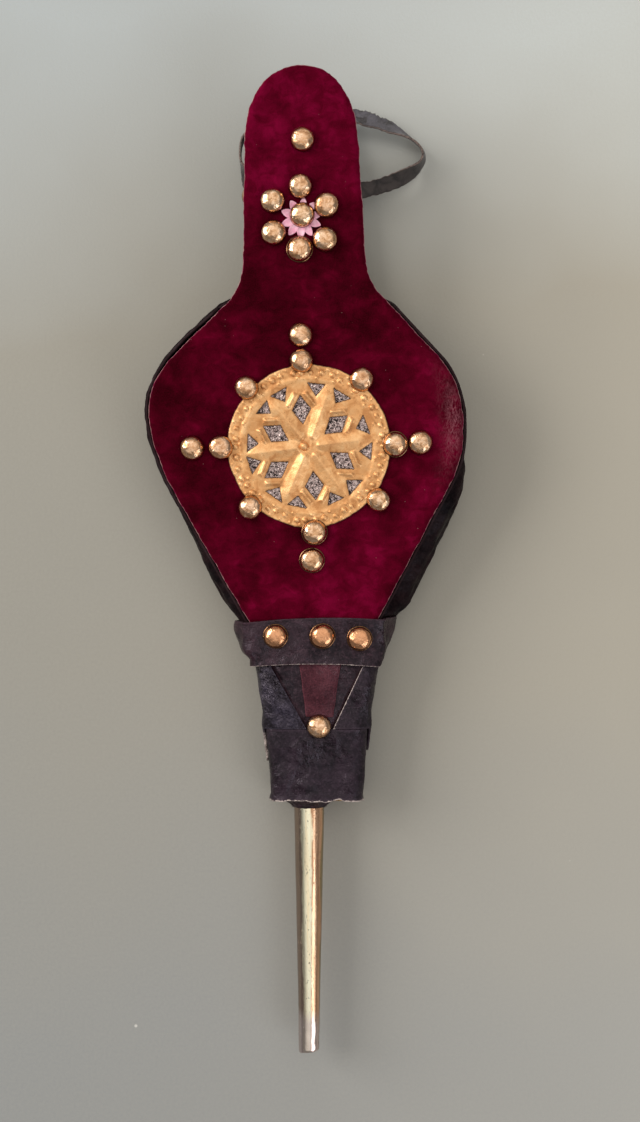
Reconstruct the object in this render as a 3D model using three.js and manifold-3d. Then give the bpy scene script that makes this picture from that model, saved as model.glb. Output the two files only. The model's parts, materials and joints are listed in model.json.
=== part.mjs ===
// Hand bellows for a hearth, lying on its back board.
// Two wooden boards with handles are joined by a leather gusset. The front board is faced with velvet and
// turns on a leather hinge at a wooden nose block, which holds a tapered brass nozzle. Air comes in through
// a hole in the back board, under a leather flap valve.
//
// Millimetres, +Z up. The origin is on the underside of the back board, below the medallion. +Y runs to the
// end of the handles, -Y to the tip of the nozzle.

import * as THREE from "three";
import { mergeVertices } from "three/addons/utils/BufferGeometryUtils.js";
import Module from "manifold-3d";

const wasm = await Module();
wasm.setup();

// ---------------------------------------------------------------- driving dimensions

const GAP = 0.3; // between pieces that touch
const LAYER_GAP = 0.15; // between thin layers that lie on each other

// Boards. Each is drawn in its own frame: x across, y = 0 at the hinge line, +y towards the handle.
const HINGE = new THREE.Vector3(-0.5, -93, 28);
const OPEN_ANGLE = THREE.MathUtils.degToRad(6); // the front board's lift as it lies at rest
const FRONT_YAW = THREE.MathUtils.degToRad(1.4); // hand-fitted boards, each a little askew
const BACK_YAW = THREE.MathUtils.degToRad(1.6);
const FRONT_THICK = 6;
const BACK_THICK = 8;
const BACK_MARGIN = 0.4; // the back board is this much larger all round
const BOARD_LENGTH = 262;
const NOSE_HALF = 28.8; // half width of the boards' narrow end
const NECK_HALF = 27.2; // half width where the handle begins
// Where each side's straight lower edge ends, where it is widest, and where its shoulder ends. The boards
// were sawn by hand, so the left shoulder is the fuller one.
const RIGHT_SIDE = { lower: [64, 76], widest: [70, 102], shoulder: [61, 131] };
const LEFT_SIDE = { lower: [61.9, 75], widest: [72, 110], shoulder: [62.2, 134] };
const HANDLE_HALF = 25.0; // half width of the handle near its end
const LAP = 12; // the back board runs this far under the nose block

// Velvet and what lies on it
const VELVET_THICK = 1.2;
const VELVET_TOP = LAYER_GAP + VELVET_THICK;
const FOIL_THICK = 0.3;
const MEDALLION_RADIUS = 37;
const MEDALLION_THICK = 0.8;
const MEDALLION_CENTRE = [0, 94];
const STAR_TURN = THREE.MathUtils.degToRad(5); // the openwork star sits this much askew
const STAR_ARMS = 6;
const FLOWER_CENTRE = [-0.9, 195.5]; // a little askew under the nail that holds it
const FLOWER_RADIUS = 9;
const FLOWER_PETALS = 10;

// Dome-headed nails
const DOME_RADIUS = 5.6;
const DOME_HEIGHT = 4.3;
const SHANK_RADIUS = 0.6;
const SHANK_LENGTH = 5.2;
const NAIL_HOLE = 1.7; // side of the square hole that a shank leaves

// Nose: the block, its leathers and the nozzle
const BLOCK_REAR = HINGE.y - 1.2;
const BLOCK_FRONT = -163;
const BLOCK_TOP = 28;
const BAND_START = -129.3; // the leather band covers the block from here to its front
const BLOCK_X = 0.8;
const BLOCK_HALF_REAR = 28.4;
const BLOCK_HALF_BAND = 22.4;
const BLOCK_HALF_FRONT = 19.8;
const BLOCK_CORNER = 5;
const LEATHER = 1.2;
const NOZZLE_X = -2.9;
const NOZZLE_Z = 14.5;
const NOZZLE_TIP = -282;
const NOZZLE_ROOT_RADIUS = 7.1;
const NOZZLE_TIP_RADIUS = 4.6;
const NOZZLE_WALL = 0.8;
const NOZZLE_INSERT = 35; // length held in the block
const CHANNEL_RADIUS = 6;

// Gusset
const RIM = 1.3; // the leather's middle lies this far outside the boards' edges
const CLEAR = 0.2; // left round a board where leather is shaped to it
const GUSSET_STEP = 8.5; // between the places where the leather's section is drawn
const GUSSET_CROSSING = 158; // where the gusset turns across, under the handles' roots

// Inlet valve, in the back board's frame
const INLET_Y = 56;
const INLET_RADIUS = 13;
const FLAP_HINGE_Y = 77;
const FLAP_LENGTH = 39;
const FLAP_HALF = 19;
const FLAP_THICK = 1.4;
const BATTEN_DEPTH = 7;
const BATTEN_THICK = 3;

// Hanging strap, a leather thong with both ends under one nail
const STRAP_WIDTH = 8;
const STRAP_THICK = 1;
const STRAP_NAIL = [-29.3, 120.8];
const STRAP_SEAT = 11.4; // height of the nail's head above the table

// ---------------------------------------------------------------- materials

function material(color, roughness, metalness) {
  return new THREE.MeshStandardMaterial({ color, roughness, metalness });
}

const wood = material(0x2b211b, 0.6, 0);
const paleWood = material(0x9a7a52, 0.7, 0);
const velvet = material(0x5e0420, 0.95, 0);
const leather = material(0x1d1a1e, 0.45, 0);
const wineLeather = material(0x4a1c26, 0.55, 0);
const valveLeather = material(0x6b4a30, 0.7, 0);
const brass = material(0xc9a25e, 0.25, 1);
const goldBrass = material(0xd9a757, 0.45, 1);
const foil = material(0xa89ea3, 0.4, 0.8);
const pink = material(0xe79ab8, 0.5, 0);

// ---------------------------------------------------------------- solids

function toSolid(geometry) {
  const bare = geometry.index ? geometry.toNonIndexed() : geometry.clone();
  bare.deleteAttribute("normal");
  bare.deleteAttribute("uv");
  const merged = mergeVertices(bare, 1e-4);
  return new wasm.Manifold(
    new wasm.Mesh({
      numProp: 3,
      vertProperties: merged.attributes.position.array,
      triVerts: new Uint32Array(merged.index.array),
    }),
  );
}

function toGeometry(solid) {
  const mesh = solid.getMesh();
  const geometry = new THREE.BufferGeometry();
  geometry.setAttribute("position", new THREE.BufferAttribute(mesh.vertProperties, 3));
  geometry.setIndex(new THREE.BufferAttribute(mesh.triVerts, 1));
  return geometry;
}

function cut(geometry, ...tools) {
  return toGeometry(tools.reduce((left, tool) => left.subtract(toSolid(tool)), toSolid(geometry)));
}

function extrude(shape, low, high) {
  const settings = { depth: high - low, bevelEnabled: false };
  return new THREE.ExtrudeGeometry(shape, settings).translate(0, 0, low);
}

function block(x0, x1, y0, y1, z0, z1) {
  const box = new THREE.BoxGeometry(x1 - x0, y1 - y0, z1 - z0);
  return box.translate((x0 + x1) / 2, (y0 + y1) / 2, (z0 + z1) / 2);
}

// A rod along Y from y0 to y1.
function rod(radius, x, z, y0, y1, sides = 24) {
  const geometry = new THREE.CylinderGeometry(radius, radius, y1 - y0, sides);
  return geometry.translate(x, (y0 + y1) / 2, z);
}

// A square hole for a nail's shank at each place, through everything from low to high.
function shankHoles(places, low, high) {
  const half = NAIL_HOLE / 2;
  return places.map(([x, y]) => block(x - half, x + half, y - half, y + half, low, high));
}

function triangles(faces) {
  const position = new Float32Array(faces.flatMap((p) => [p.x, p.y, p.z]));
  return new THREE.BufferGeometry().setAttribute("position", new THREE.BufferAttribute(position, 3));
}

// A closed sheet of leather between two grids of points, outer[i][j] and inner[i][j]. With wrap, j closes
// on itself, as round a sleeve.
function thickSheet(outer, inner, wrap = false) {
  const rows = outer.length;
  const columns = outer[0].length;
  const faces = [];
  const quad = (a, b, c, d) => faces.push(a, b, c, a, c, d);
  const last = wrap ? columns : columns - 1;
  for (let i = 0; i < rows - 1; i++) {
    for (let j = 0; j < last; j++) {
      const k = (j + 1) % columns;
      quad(outer[i][j], outer[i + 1][j], outer[i + 1][k], outer[i][k]);
      quad(inner[i][j], inner[i][k], inner[i + 1][k], inner[i + 1][j]);
    }
    if (wrap) continue;
    quad(outer[i][0], inner[i][0], inner[i + 1][0], outer[i + 1][0]);
    quad(outer[i][last], outer[i + 1][last], inner[i + 1][last], inner[i][last]);
  }
  for (let j = 0; j < last; j++) {
    const k = (j + 1) % columns;
    quad(outer[0][j], outer[0][k], inner[0][k], inner[0][j]);
    quad(outer[rows - 1][j], inner[rows - 1][j], inner[rows - 1][k], outer[rows - 1][k]);
  }
  const geometry = triangles(faces);
  return toSolid(geometry).volume() < 0 ? triangles(faces.reverse()) : geometry;
}

// A solid through rings of points, closed by a fan at each end. The rings are convex.
function loft(rings) {
  const faces = [];
  const count = rings[0].length;
  for (let j = 0; j < count; j++) {
    const k = (j + 1) % count;
    for (let i = 0; i < rings.length - 1; i++) {
      faces.push(rings[i][j], rings[i + 1][j], rings[i + 1][k]);
      faces.push(rings[i][j], rings[i + 1][k], rings[i][k]);
    }
    if (j > 0 && j < count - 1) {
      const end = rings[rings.length - 1];
      faces.push(rings[0][0], rings[0][j], rings[0][k]);
      faces.push(end[0], end[k], end[j]);
    }
  }
  const geometry = triangles(faces);
  return toSolid(geometry).volume() < 0 ? triangles(faces.reverse()) : geometry;
}

function mix(a, b, t) {
  return a + (b - a) * t;
}

function smooth(value, low, high) {
  return THREE.MathUtils.smoothstep(value, low, high);
}

// ---------------------------------------------------------------- the boards' outline

// One side of a board, from its narrow end to the end of the handle, drawn on the right.
function sidePath({ lower, widest, shoulder }) {
  const path = new THREE.Path();
  path.moveTo(NOSE_HALF, 0);
  path.lineTo(NOSE_HALF, 13);
  path.lineTo(...lower);
  path.bezierCurveTo(lower[0] + 4.8, lower[1] + 9, widest[0], widest[1] - 10, ...widest);
  path.bezierCurveTo(widest[0], widest[1] + 10, shoulder[0] + 6.4, shoulder[1] - 8, ...shoulder);
  path.lineTo(NECK_HALF + 12, 155.2);
  path.bezierCurveTo(NECK_HALF + 5.2, 161.5, NECK_HALF + 1, 166, NECK_HALF, 176);
  path.lineTo(HANDLE_HALF, 229);
  path.bezierCurveTo(HANDLE_HALF - 0.6, 250, 14, BOARD_LENGTH, 0, BOARD_LENGTH);
  return path;
}

// A board's half width in its straight lower part.
function boardHalf(y) {
  return mix(NOSE_HALF, RIGHT_SIDE.lower[0], Math.max(0, y - 13) / (RIGHT_SIDE.lower[1] - 13));
}

// The outline moved outwards by a margin, along each corner's normal.
function grown(points, margin) {
  return points.map((p, i) => {
    const before = points[(i + points.length - 1) % points.length];
    const after = points[(i + 1) % points.length];
    const a = new THREE.Vector2().subVectors(p, before).normalize();
    const b = new THREE.Vector2().subVectors(after, p).normalize();
    const normal = new THREE.Vector2(a.y + b.y, -a.x - b.x).normalize();
    const stretch = 1 / Math.max(0.5, normal.dot(new THREE.Vector2(a.y, -a.x)));
    return new THREE.Vector2().addVectors(p, normal.multiplyScalar(margin * stretch));
  });
}

function boardShape(margin) {
  const left = sidePath(LEFT_SIDE).getPoints(5).filter((p) => p.x > 0);
  const leftPoints = left.map((p) => new THREE.Vector2(-p.x, p.y)).reverse();
  return new THREE.Shape(grown([...sidePath(RIGHT_SIDE).getPoints(5), ...leftPoints], margin));
}

// ---------------------------------------------------------------- frames

const bellows = new THREE.Group();
const back = new THREE.Group(); // the back board's frame; z = 0 is its underside
back.position.set(HINGE.x, HINGE.y, 0);
back.rotation.z = BACK_YAW;
const frontYaw = new THREE.Group(); // the hinge axis is this group's x axis
frontYaw.position.copy(HINGE);
frontYaw.rotation.z = FRONT_YAW;
const front = new THREE.Group(); // the front board's frame; z = 0 is the wood's outer face
front.rotation.x = OPEN_ANGLE;
frontYaw.add(front);
bellows.add(back, frontYaw);
bellows.updateMatrixWorld(true);

function onBack(x, y, z) {
  return new THREE.Vector3(x, y, z).applyMatrix4(back.matrixWorld);
}

function onFront(x, y, z) {
  return new THREE.Vector3(x, y, z).applyMatrix4(front.matrixWorld);
}

// The room the two boards take, with a little to spare, for shaping leather to them.
function boardRoom() {
  const backRoom = extrude(boardShape(BACK_MARGIN + CLEAR), -9, BACK_THICK + CLEAR);
  const frontRoom = extrude(boardShape(CLEAR), -FRONT_THICK - CLEAR, CLEAR);
  return [backRoom.applyMatrix4(back.matrixWorld), frontRoom.applyMatrix4(front.matrixWorld)];
}

function add(group, name, geometry, finish) {
  const mesh = new THREE.Mesh(geometry, finish.clone());
  mesh.name = name;
  group.add(mesh);
  return mesh;
}

// ---------------------------------------------------------------- nails

const HANDLE_NAIL = [0.5, 230];
const ROSETTE_NAILS = [
  [-0.5, 197],
  [-1, 209.5],
  [10.5, 201],
  [9.5, 186],
  [-2, 182],
  [-13.5, 189.5],
  [-13.5, 203.5],
];
// Round the medallion: those whose heads hold its rim, then the outer four.
const RIM_NAILS = [
  [-2.5, 132.5],
  [24.5, 123.5],
  [39, 94],
  [31, 69],
  [1.5, 55],
  [-27.5, 67],
  [-40, 94.5],
  [-27.5, 121],
];
const OUTER_NAILS = [
  [-2.5, 144],
  [50.5, 94.5],
  [0, 42],
  [-53, 94.5],
];
const HINGE_NAILS = [
  [-17.5, 7.5],
  [4, 7],
  [21, 5.5],
];
const NOSE_NAIL = [1.7, -127.9];

// A dome head whose flat underside is at z = 0, and a pointed shank below it.
function domeNail() {
  const profile = [
    [0, -SHANK_LENGTH],
    [SHANK_RADIUS, 1.2 - SHANK_LENGTH],
    [SHANK_RADIUS, 0],
    [DOME_RADIUS, 0],
    [DOME_RADIUS * 0.94, DOME_HEIGHT * 0.36],
    [DOME_RADIUS * 0.7, DOME_HEIGHT * 0.74],
    [DOME_RADIUS * 0.36, DOME_HEIGHT * 0.95],
    [0, DOME_HEIGHT],
  ].map(([r, h]) => new THREE.Vector2(r, h));
  return new THREE.LatheGeometry(profile, 12).rotateX(Math.PI / 2);
}

function addNails(group, name, places, seat) {
  places.forEach(([x, y], i) => {
    const suffix = places.length > 1 ? `_${i + 1}` : "";
    add(group, name + suffix, domeNail(), brass).position.set(x, y, seat);
  });
}

// ---------------------------------------------------------------- back board and valve

function backBoard() {
  const main = toSolid(extrude(boardShape(BACK_MARGIN), 0, BACK_THICK));
  const lap = new THREE.Shape([
    new THREE.Vector2(4.3 - NOSE_HALF, -LAP),
    new THREE.Vector2(NOSE_HALF - 4.3, -LAP),
    new THREE.Vector2(NOSE_HALF - 2.6, 1),
    new THREE.Vector2(2.6 - NOSE_HALF, 1),
  ]);
  const inlet = new THREE.CylinderGeometry(INLET_RADIUS, INLET_RADIUS, 3 * BACK_THICK, 24);
  inlet.rotateX(Math.PI / 2).translate(0, INLET_Y, 0);
  const strapNail = back.worldToLocal(new THREE.Vector3(...STRAP_NAIL, 0));
  const holes = shankHoles([[strapNail.x, strapNail.y], ...battenTacks()], 2, 2 * BACK_THICK);
  return cut(toGeometry(main.add(toSolid(extrude(lap, 0, BACK_THICK)))), inlet, ...holes);
}

function battenTacks() {
  const y = FLAP_HINGE_Y + GAP + BATTEN_DEPTH / 2;
  return [
    [-12, y],
    [12, y],
  ];
}

// The leather clack: it lies over the inlet and lifts from its front edge.
function valveFlap() {
  const low = BACK_THICK + LAYER_GAP;
  return block(-FLAP_HALF, FLAP_HALF, FLAP_HINGE_Y - FLAP_LENGTH, FLAP_HINGE_Y - GAP, low, low + FLAP_THICK);
}

function valveBatten() {
  const low = BACK_THICK + LAYER_GAP;
  const y = FLAP_HINGE_Y + GAP;
  const strip = block(-FLAP_HALF, FLAP_HALF, y, y + BATTEN_DEPTH, low, low + BATTEN_THICK);
  return cut(strip, ...shankHoles(battenTacks(), low - 1, low + BATTEN_THICK + 1));
}

function valveTack() {
  const profile = [
    [0, -7],
    [0.5, -6],
    [0.5, 0],
    [2.4, 0],
    [1.6, 1],
    [0, 1.3],
  ].map(([r, h]) => new THREE.Vector2(r, h));
  return new THREE.LatheGeometry(profile, 10).rotateX(Math.PI / 2);
}

function addBack() {
  add(back, "back_board", backBoard(), wood);
  add(back, "valve_flap", valveFlap(), valveLeather);
  add(back, "valve_batten", valveBatten(), paleWood);
  const seat = BACK_THICK + BATTEN_THICK + 2 * LAYER_GAP;
  battenTacks().forEach(([x, y], i) => {
    add(back, `valve_tack_${i + 1}`, valveTack(), brass).position.set(x, y, seat);
  });
}

// ---------------------------------------------------------------- front board and its trim

function medallion() {
  const plate = new THREE.Shape().absarc(0, 0, MEDALLION_RADIUS, 0, 2 * Math.PI);
  const polar = (radius, angle) => new THREE.Vector2(radius * Math.cos(angle), radius * Math.sin(angle));
  const window = (...corners) => plate.holes.push(new THREE.Path(corners));
  for (let arm = 0; arm < STAR_ARMS; arm++) {
    const middle = STAR_TURN + ((arm + 0.5) * 2 * Math.PI) / STAR_ARMS;
    window(polar(11, middle), polar(17, middle + 0.26), polar(23.2, middle), polar(17, middle - 0.26));
    for (const side of [-1, 1]) {
      window(
        polar(22.4, middle + side * 0.35),
        polar(28.4, middle + side * 0.17),
        polar(28.6, middle + side * 0.43),
      );
    }
  }
  return extrudeCurved(plate, 0, MEDALLION_THICK, 11);
}

function extrudeCurved(shape, low, high, curveSegments) {
  const settings = { depth: high - low, bevelEnabled: false, curveSegments };
  return new THREE.ExtrudeGeometry(shape, settings).translate(0, 0, low);
}

function flower() {
  const points = [];
  for (let i = 0; i < 4 * FLOWER_PETALS; i++) {
    const angle = (i * Math.PI) / (2 * FLOWER_PETALS);
    const radius = FLOWER_RADIUS * [0.62, 0.88, 1, 0.88][i % 4];
    points.push(new THREE.Vector2(radius * Math.cos(angle), radius * Math.sin(angle)));
  }
  const [x, y] = ROSETTE_NAILS[0];
  const [cx, cy] = FLOWER_CENTRE;
  const shape = new THREE.Shape(points);
  shape.holes.push(new THREE.Path().absarc(x - cx, y - cy, NAIL_HOLE / 2, 0, 2 * Math.PI));
  return extrudeCurved(shape, 0, 0.5, 2);
}

function addFront() {
  const places = [HANDLE_NAIL, ...ROSETTE_NAILS, ...RIM_NAILS, ...OUTER_NAILS, ...HINGE_NAILS];
  const plank = extrude(boardShape(0), -FRONT_THICK, 0);
  const cloth = cut(
    extrude(boardShape(0.3), LAYER_GAP, VELVET_TOP),
    block(-99, 99, -9, 1, -9, 9),
    ...shankHoles(places, -1, 3),
  );
  add(front, "front_board", cut(plank, ...shankHoles(places, 1 - FRONT_THICK, 2)), wood);
  add(front, "velvet_cover", cloth, velvet);
  const [x, y] = MEDALLION_CENTRE;
  const foilLow = VELVET_TOP + LAYER_GAP;
  const plateLow = foilLow + FOIL_THICK + LAYER_GAP;
  const disc = new THREE.CylinderGeometry(MEDALLION_RADIUS - 3, MEDALLION_RADIUS - 3, FOIL_THICK, 32);
  disc.rotateX(Math.PI / 2).translate(0, 0, FOIL_THICK / 2);
  add(front, "medallion_foil", disc, foil).position.set(x, y, foilLow);
  add(front, "medallion", medallion(), goldBrass).position.set(x, y, plateLow);
  add(front, "flower", flower(), pink).position.set(...FLOWER_CENTRE, foilLow);
  addNails(front, "handle_nail", [HANDLE_NAIL], foilLow);
  addNails(front, "rosette_nail", ROSETTE_NAILS, foilLow + 0.5 + LAYER_GAP);
  addNails(front, "rim_nail", RIM_NAILS, plateLow + MEDALLION_THICK + LAYER_GAP);
  addNails(front, "outer_nail", OUTER_NAILS, foilLow);
  addNails(front, "hinge_nail", HINGE_NAILS, VELVET_TOP + LEATHER + 2 * LAYER_GAP);
}

// ---------------------------------------------------------------- nose block and nozzle

// A rounded rectangle in the plane at y, from the right side round the top to the left and back below.
function blockRing(y, half, low, high, corner, grow = 0) {
  const ring = [];
  const corners = [
    [half - corner, high - corner, 0],
    [corner - half, high - corner, 1],
    [corner - half, low + corner, 2],
    [half - corner, low + corner, 3],
  ];
  for (const [x, z, quarter] of corners) {
    for (let step = 0; step <= 3; step++) {
      const angle = ((quarter + step / 3) * Math.PI) / 2;
      const reach = corner + grow;
      const across = BLOCK_X + x + reach * Math.cos(angle);
      ring.push(new THREE.Vector3(across, y, z + reach * Math.sin(angle)));
    }
  }
  return ring;
}

function blockHalf(y) {
  if (y > BAND_START) {
    return mix(BLOCK_HALF_BAND, BLOCK_HALF_REAR, (y - BAND_START) / (BLOCK_REAR - BAND_START));
  }
  return mix(BLOCK_HALF_FRONT, BLOCK_HALF_BAND, (y - BLOCK_FRONT) / (BAND_START - BLOCK_FRONT));
}

// The band's part of the block is raised and lowered by the leather's thickness, and tapers to the front.
function blockLow(y) {
  return y > BAND_START ? 0 : mix(3.2, 1.7, (y - BLOCK_FRONT) / (BAND_START - BLOCK_FRONT));
}

function blockHigh(y) {
  return y > BAND_START ? BLOCK_TOP : mix(25, BLOCK_TOP, (y - BLOCK_FRONT) / (BAND_START - BLOCK_FRONT));
}

function noseBlock() {
  const ring = (y) => blockRing(y, blockHalf(y), blockLow(y), blockHigh(y), BLOCK_CORNER);
  const body = loft([ring(BLOCK_REAR), ring(BAND_START + 0.1), ring(BAND_START - 0.1), ring(BLOCK_FRONT)]);
  const notch = block(-40, 40, HINGE.y - LAP - 1.6, 0, -9, BACK_THICK + GAP);
  const socketEnd = BLOCK_FRONT + NOZZLE_INSERT + GAP;
  const socket = rod(NOZZLE_ROOT_RADIUS + GAP + 0.1, NOZZLE_X, NOZZLE_Z, BLOCK_FRONT - 9, socketEnd);
  const channel = rod(CHANNEL_RADIUS, NOZZLE_X, NOZZLE_Z, socketEnd - 1, 0);
  return cut(body, notch, socket, channel, ...shankHoles([NOSE_NAIL], BLOCK_TOP - 4.5, BLOCK_TOP + 9));
}

// Brass tube: straight where the block holds it, then tapering to the tip.
function nozzleTube() {
  const root = BLOCK_FRONT + NOZZLE_INSERT;
  const taper = BLOCK_FRONT - 4;
  const profile = [
    [NOZZLE_TIP_RADIUS - NOZZLE_WALL, NOZZLE_TIP],
    [NOZZLE_TIP_RADIUS, NOZZLE_TIP],
    [NOZZLE_ROOT_RADIUS, taper],
    [NOZZLE_ROOT_RADIUS, root],
    [NOZZLE_ROOT_RADIUS - NOZZLE_WALL, root],
    [NOZZLE_ROOT_RADIUS - NOZZLE_WALL, taper],
    [NOZZLE_TIP_RADIUS - NOZZLE_WALL, NOZZLE_TIP],
  ].map(([r, y]) => new THREE.Vector2(r, y));
  return new THREE.LatheGeometry(profile, 24).translate(NOZZLE_X, 0, NOZZLE_Z);
}

// Leather packed round the tube where it leaves the block.
function nozzleSeal() {
  const inner = NOZZLE_ROOT_RADIUS + GAP;
  const face = BLOCK_FRONT - GAP;
  const profile = [
    [inner, face - 3.6],
    [inner + 0.8, face - 3.6],
    [inner + 1.5, face - 2.4],
    [inner + 3.2, face - 1],
    [inner + 3.2, face],
    [inner, face],
    [inner, face - 3.6],
  ].map(([r, y]) => new THREE.Vector2(r, y));
  return new THREE.LatheGeometry(profile, 20).translate(NOZZLE_X, 0, NOZZLE_Z);
}

// ---------------------------------------------------------------- leathers on the nose

// The V between the two flaps: their top edges' x at a place along the nose.
function flapEdge(side, y) {
  const t = (-101 - y) / 27.5;
  return side < 0 ? mix(-20.2, -4.4, t) : mix(21.6, 8.6, t);
}

// A leather flap from the V on the block's top, over the edge and down the side. At the side it ends in a
// tongue that stands off over the band.
function noseFlap(side) {
  const start = BLOCK_REAR - 0.4;
  const topEnd = BAND_START + GAP;
  const sideEnd = side < 0 ? -146 : -141;
  const bottom = 0.8;
  const rows = 7;
  const outer = [];
  const inner = [];
  for (let i = 0; i < rows; i++) {
    const chain = (offset) => {
      const points = [];
      const put = (x, z, share, end) => {
        const y = mix(start, mix(topEnd, end, share), i / (rows - 1));
        const off = offset + 2 * share * smooth(-y, 114, 125);
        points.push([x, z, y, off]);
      };
      const yTop = mix(start, topEnd, i / (rows - 1));
      put(flapEdge(side, yTop), 0, 0, topEnd);
      put(NaN, 0, 0, topEnd);
      for (let step = 1; step <= 3; step++) put(NaN, step, step / 3, topEnd);
      put(NaN, 4, 1, sideEnd);
      put(NaN, 5, 1, mix(topEnd, sideEnd, 0.4));
      return points.map(([x, part, y, off]) => {
        const half = blockHalf(Math.max(y, BAND_START)) - Math.max(0, BAND_START - y) * 0.08;
        const corner = BLOCK_CORNER;
        if (!Number.isNaN(x)) return new THREE.Vector3(x, y, BLOCK_TOP + off);
        const angle = ((1 - Math.min(part, 3) / 3) * Math.PI) / 2;
        const reach = corner + off;
        const px = half - corner + reach * Math.cos(angle);
        const pz = BLOCK_TOP - corner + reach * Math.sin(angle);
        const down = part === 4 ? 14 : part === 5 ? bottom : pz;
        return new THREE.Vector3(BLOCK_X + side * px, y, down);
      });
    };
    outer.push(chain(LAYER_GAP + LEATHER));
    inner.push(chain(LAYER_GAP));
  }
  return thickSheet(outer, inner);
}

// A flat piece that tapers along the nose; each end is given by its middle's x, its y and its half width.
function taperedStrip([xRear, yRear, rearHalf], [xFront, yFront, frontHalf], low, high) {
  const shape = new THREE.Shape([
    new THREE.Vector2(xRear - rearHalf, yRear),
    new THREE.Vector2(xFront - frontHalf, yFront),
    new THREE.Vector2(xFront + frontHalf, yFront),
    new THREE.Vector2(xRear + rearHalf, yRear),
  ]);
  return extrude(shape, low, high);
}

// The dark leather in the V, and the wine-red strip on it.
function noseTongue() {
  return taperedStrip([0.4, -96, 22.6], [2, -126.2, 6.8], BLOCK_TOP + LAYER_GAP, BLOCK_TOP + 0.65);
}

function accentStrip() {
  return taperedStrip([2.2, -96.5, 9.9], [2, -122.6, 6.2], BLOCK_TOP + 0.8, BLOCK_TOP + 1.4);
}

// A sleeve of leather round the front of the block, with a wavy cut edge.
function noseBand() {
  const stations = [BAND_START - 0.1, -141, -152, BLOCK_FRONT];
  const ring = (y, grow) =>
    blockRing(y, blockHalf(y), blockLow(y), blockHigh(y), BLOCK_CORNER, grow).map((p, j) => {
      const wave = y === BLOCK_FRONT ? 0.8 * Math.sin(j * 1.9) : 0;
      return new THREE.Vector3(p.x, p.y + wave, p.z);
    });
  const outer = stations.map((y) => ring(y, LAYER_GAP + LEATHER));
  const inner = stations.map((y) => ring(y, LAYER_GAP));
  return thickSheet(outer, inner, true);
}

function addNose() {
  add(bellows, "nose_block", noseBlock(), paleWood);
  add(bellows, "nozzle_tube", nozzleTube(), brass);
  add(bellows, "nozzle_seal", nozzleSeal(), leather);
  add(bellows, "nose_flap_left", noseFlap(-1), leather);
  add(bellows, "nose_flap_right", noseFlap(1), leather);
  add(bellows, "nose_tongue", noseTongue(), leather);
  add(bellows, "accent_strip", accentStrip(), wineLeather);
  add(bellows, "nose_band", noseBand(), leather);
  addNails(bellows, "nose_nail", [NOSE_NAIL], BLOCK_TOP + LEATHER + 2 * LAYER_GAP + 0.1);
}

// ---------------------------------------------------------------- gusset and hinge leather

// Where the gusset runs on one side, in either board's frame: along the edge of the body, then across the
// handle's root.
function sideStations(side) {
  const path = sidePath(side);
  const spaced = path.getSpacedPoints(Math.round(path.getLength() / GUSSET_STEP));
  const edge = spaced.filter((p) => p.y > 5 && p.y < GUSSET_CROSSING);
  const right = [new THREE.Vector2(NOSE_HALF, 1.5), ...edge];
  const stations = right.map((p, i) => {
    const after = right[Math.min(i + 1, right.length - 1)];
    const before = right[Math.max(i - 1, 0)];
    const normal = new THREE.Vector2(after.y - before.y, before.x - after.x).normalize();
    return { x: p.x, y: p.y, nx: normal.x, ny: normal.y, edge: true };
  });
  const corner = stations[stations.length - 1];
  stations.push({ ...corner, x: corner.x - 0.8, y: corner.y + 0.8, edge: false });
  for (const [x, y, turn] of [
    [30, 160.5, 1.25],
    [22, 162, 1.5],
    [10, 162.5, Math.PI / 2],
  ]) {
    stations.push({ x, y, nx: Math.cos(turn), ny: Math.sin(turn), edge: false });
  }
  return stations;
}

function gussetStations() {
  const left = sideStations(LEFT_SIDE).map((s) => ({ ...s, x: -s.x, nx: -s.nx }));
  return [...sideStations(RIGHT_SIDE), ...left.reverse()];
}

// How far the leather's fold lies outside the edge, at places along the board: it bulges by the nose, more
// on the right, and folds in round the wide end.
const RIGHT_FOLD = [
  [0, 2.2],
  [5, 3.4],
  [11, 4.6],
  [16, 6.4],
  [25, 9.6],
  [48, 9.6],
  [70, 8.2],
  [84, 5],
  [98, -4],
  [115, -14],
];
const LEFT_FOLD = [
  [0, 2.2],
  [5, 3.4],
  [16, 4.6],
  [28, 6],
  [40, 5.7],
  [62, 3],
  [76, 1],
  [90, -6],
  [108, -14],
];

// The value at a place, from a list of [place, value] pairs joined by straight lines.
function along(pairs, place) {
  const next = pairs.findIndex(([at]) => at >= place);
  if (next < 1) return pairs[next < 0 ? pairs.length - 1 : 0][1];
  const [[a, low], [b, high]] = [pairs[next - 1], pairs[next]];
  return mix(low, high, (place - a) / (b - a));
}

function foldReach(station) {
  return along(station.x > 0 ? RIGHT_FOLD : LEFT_FOLD, station.y);
}

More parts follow.
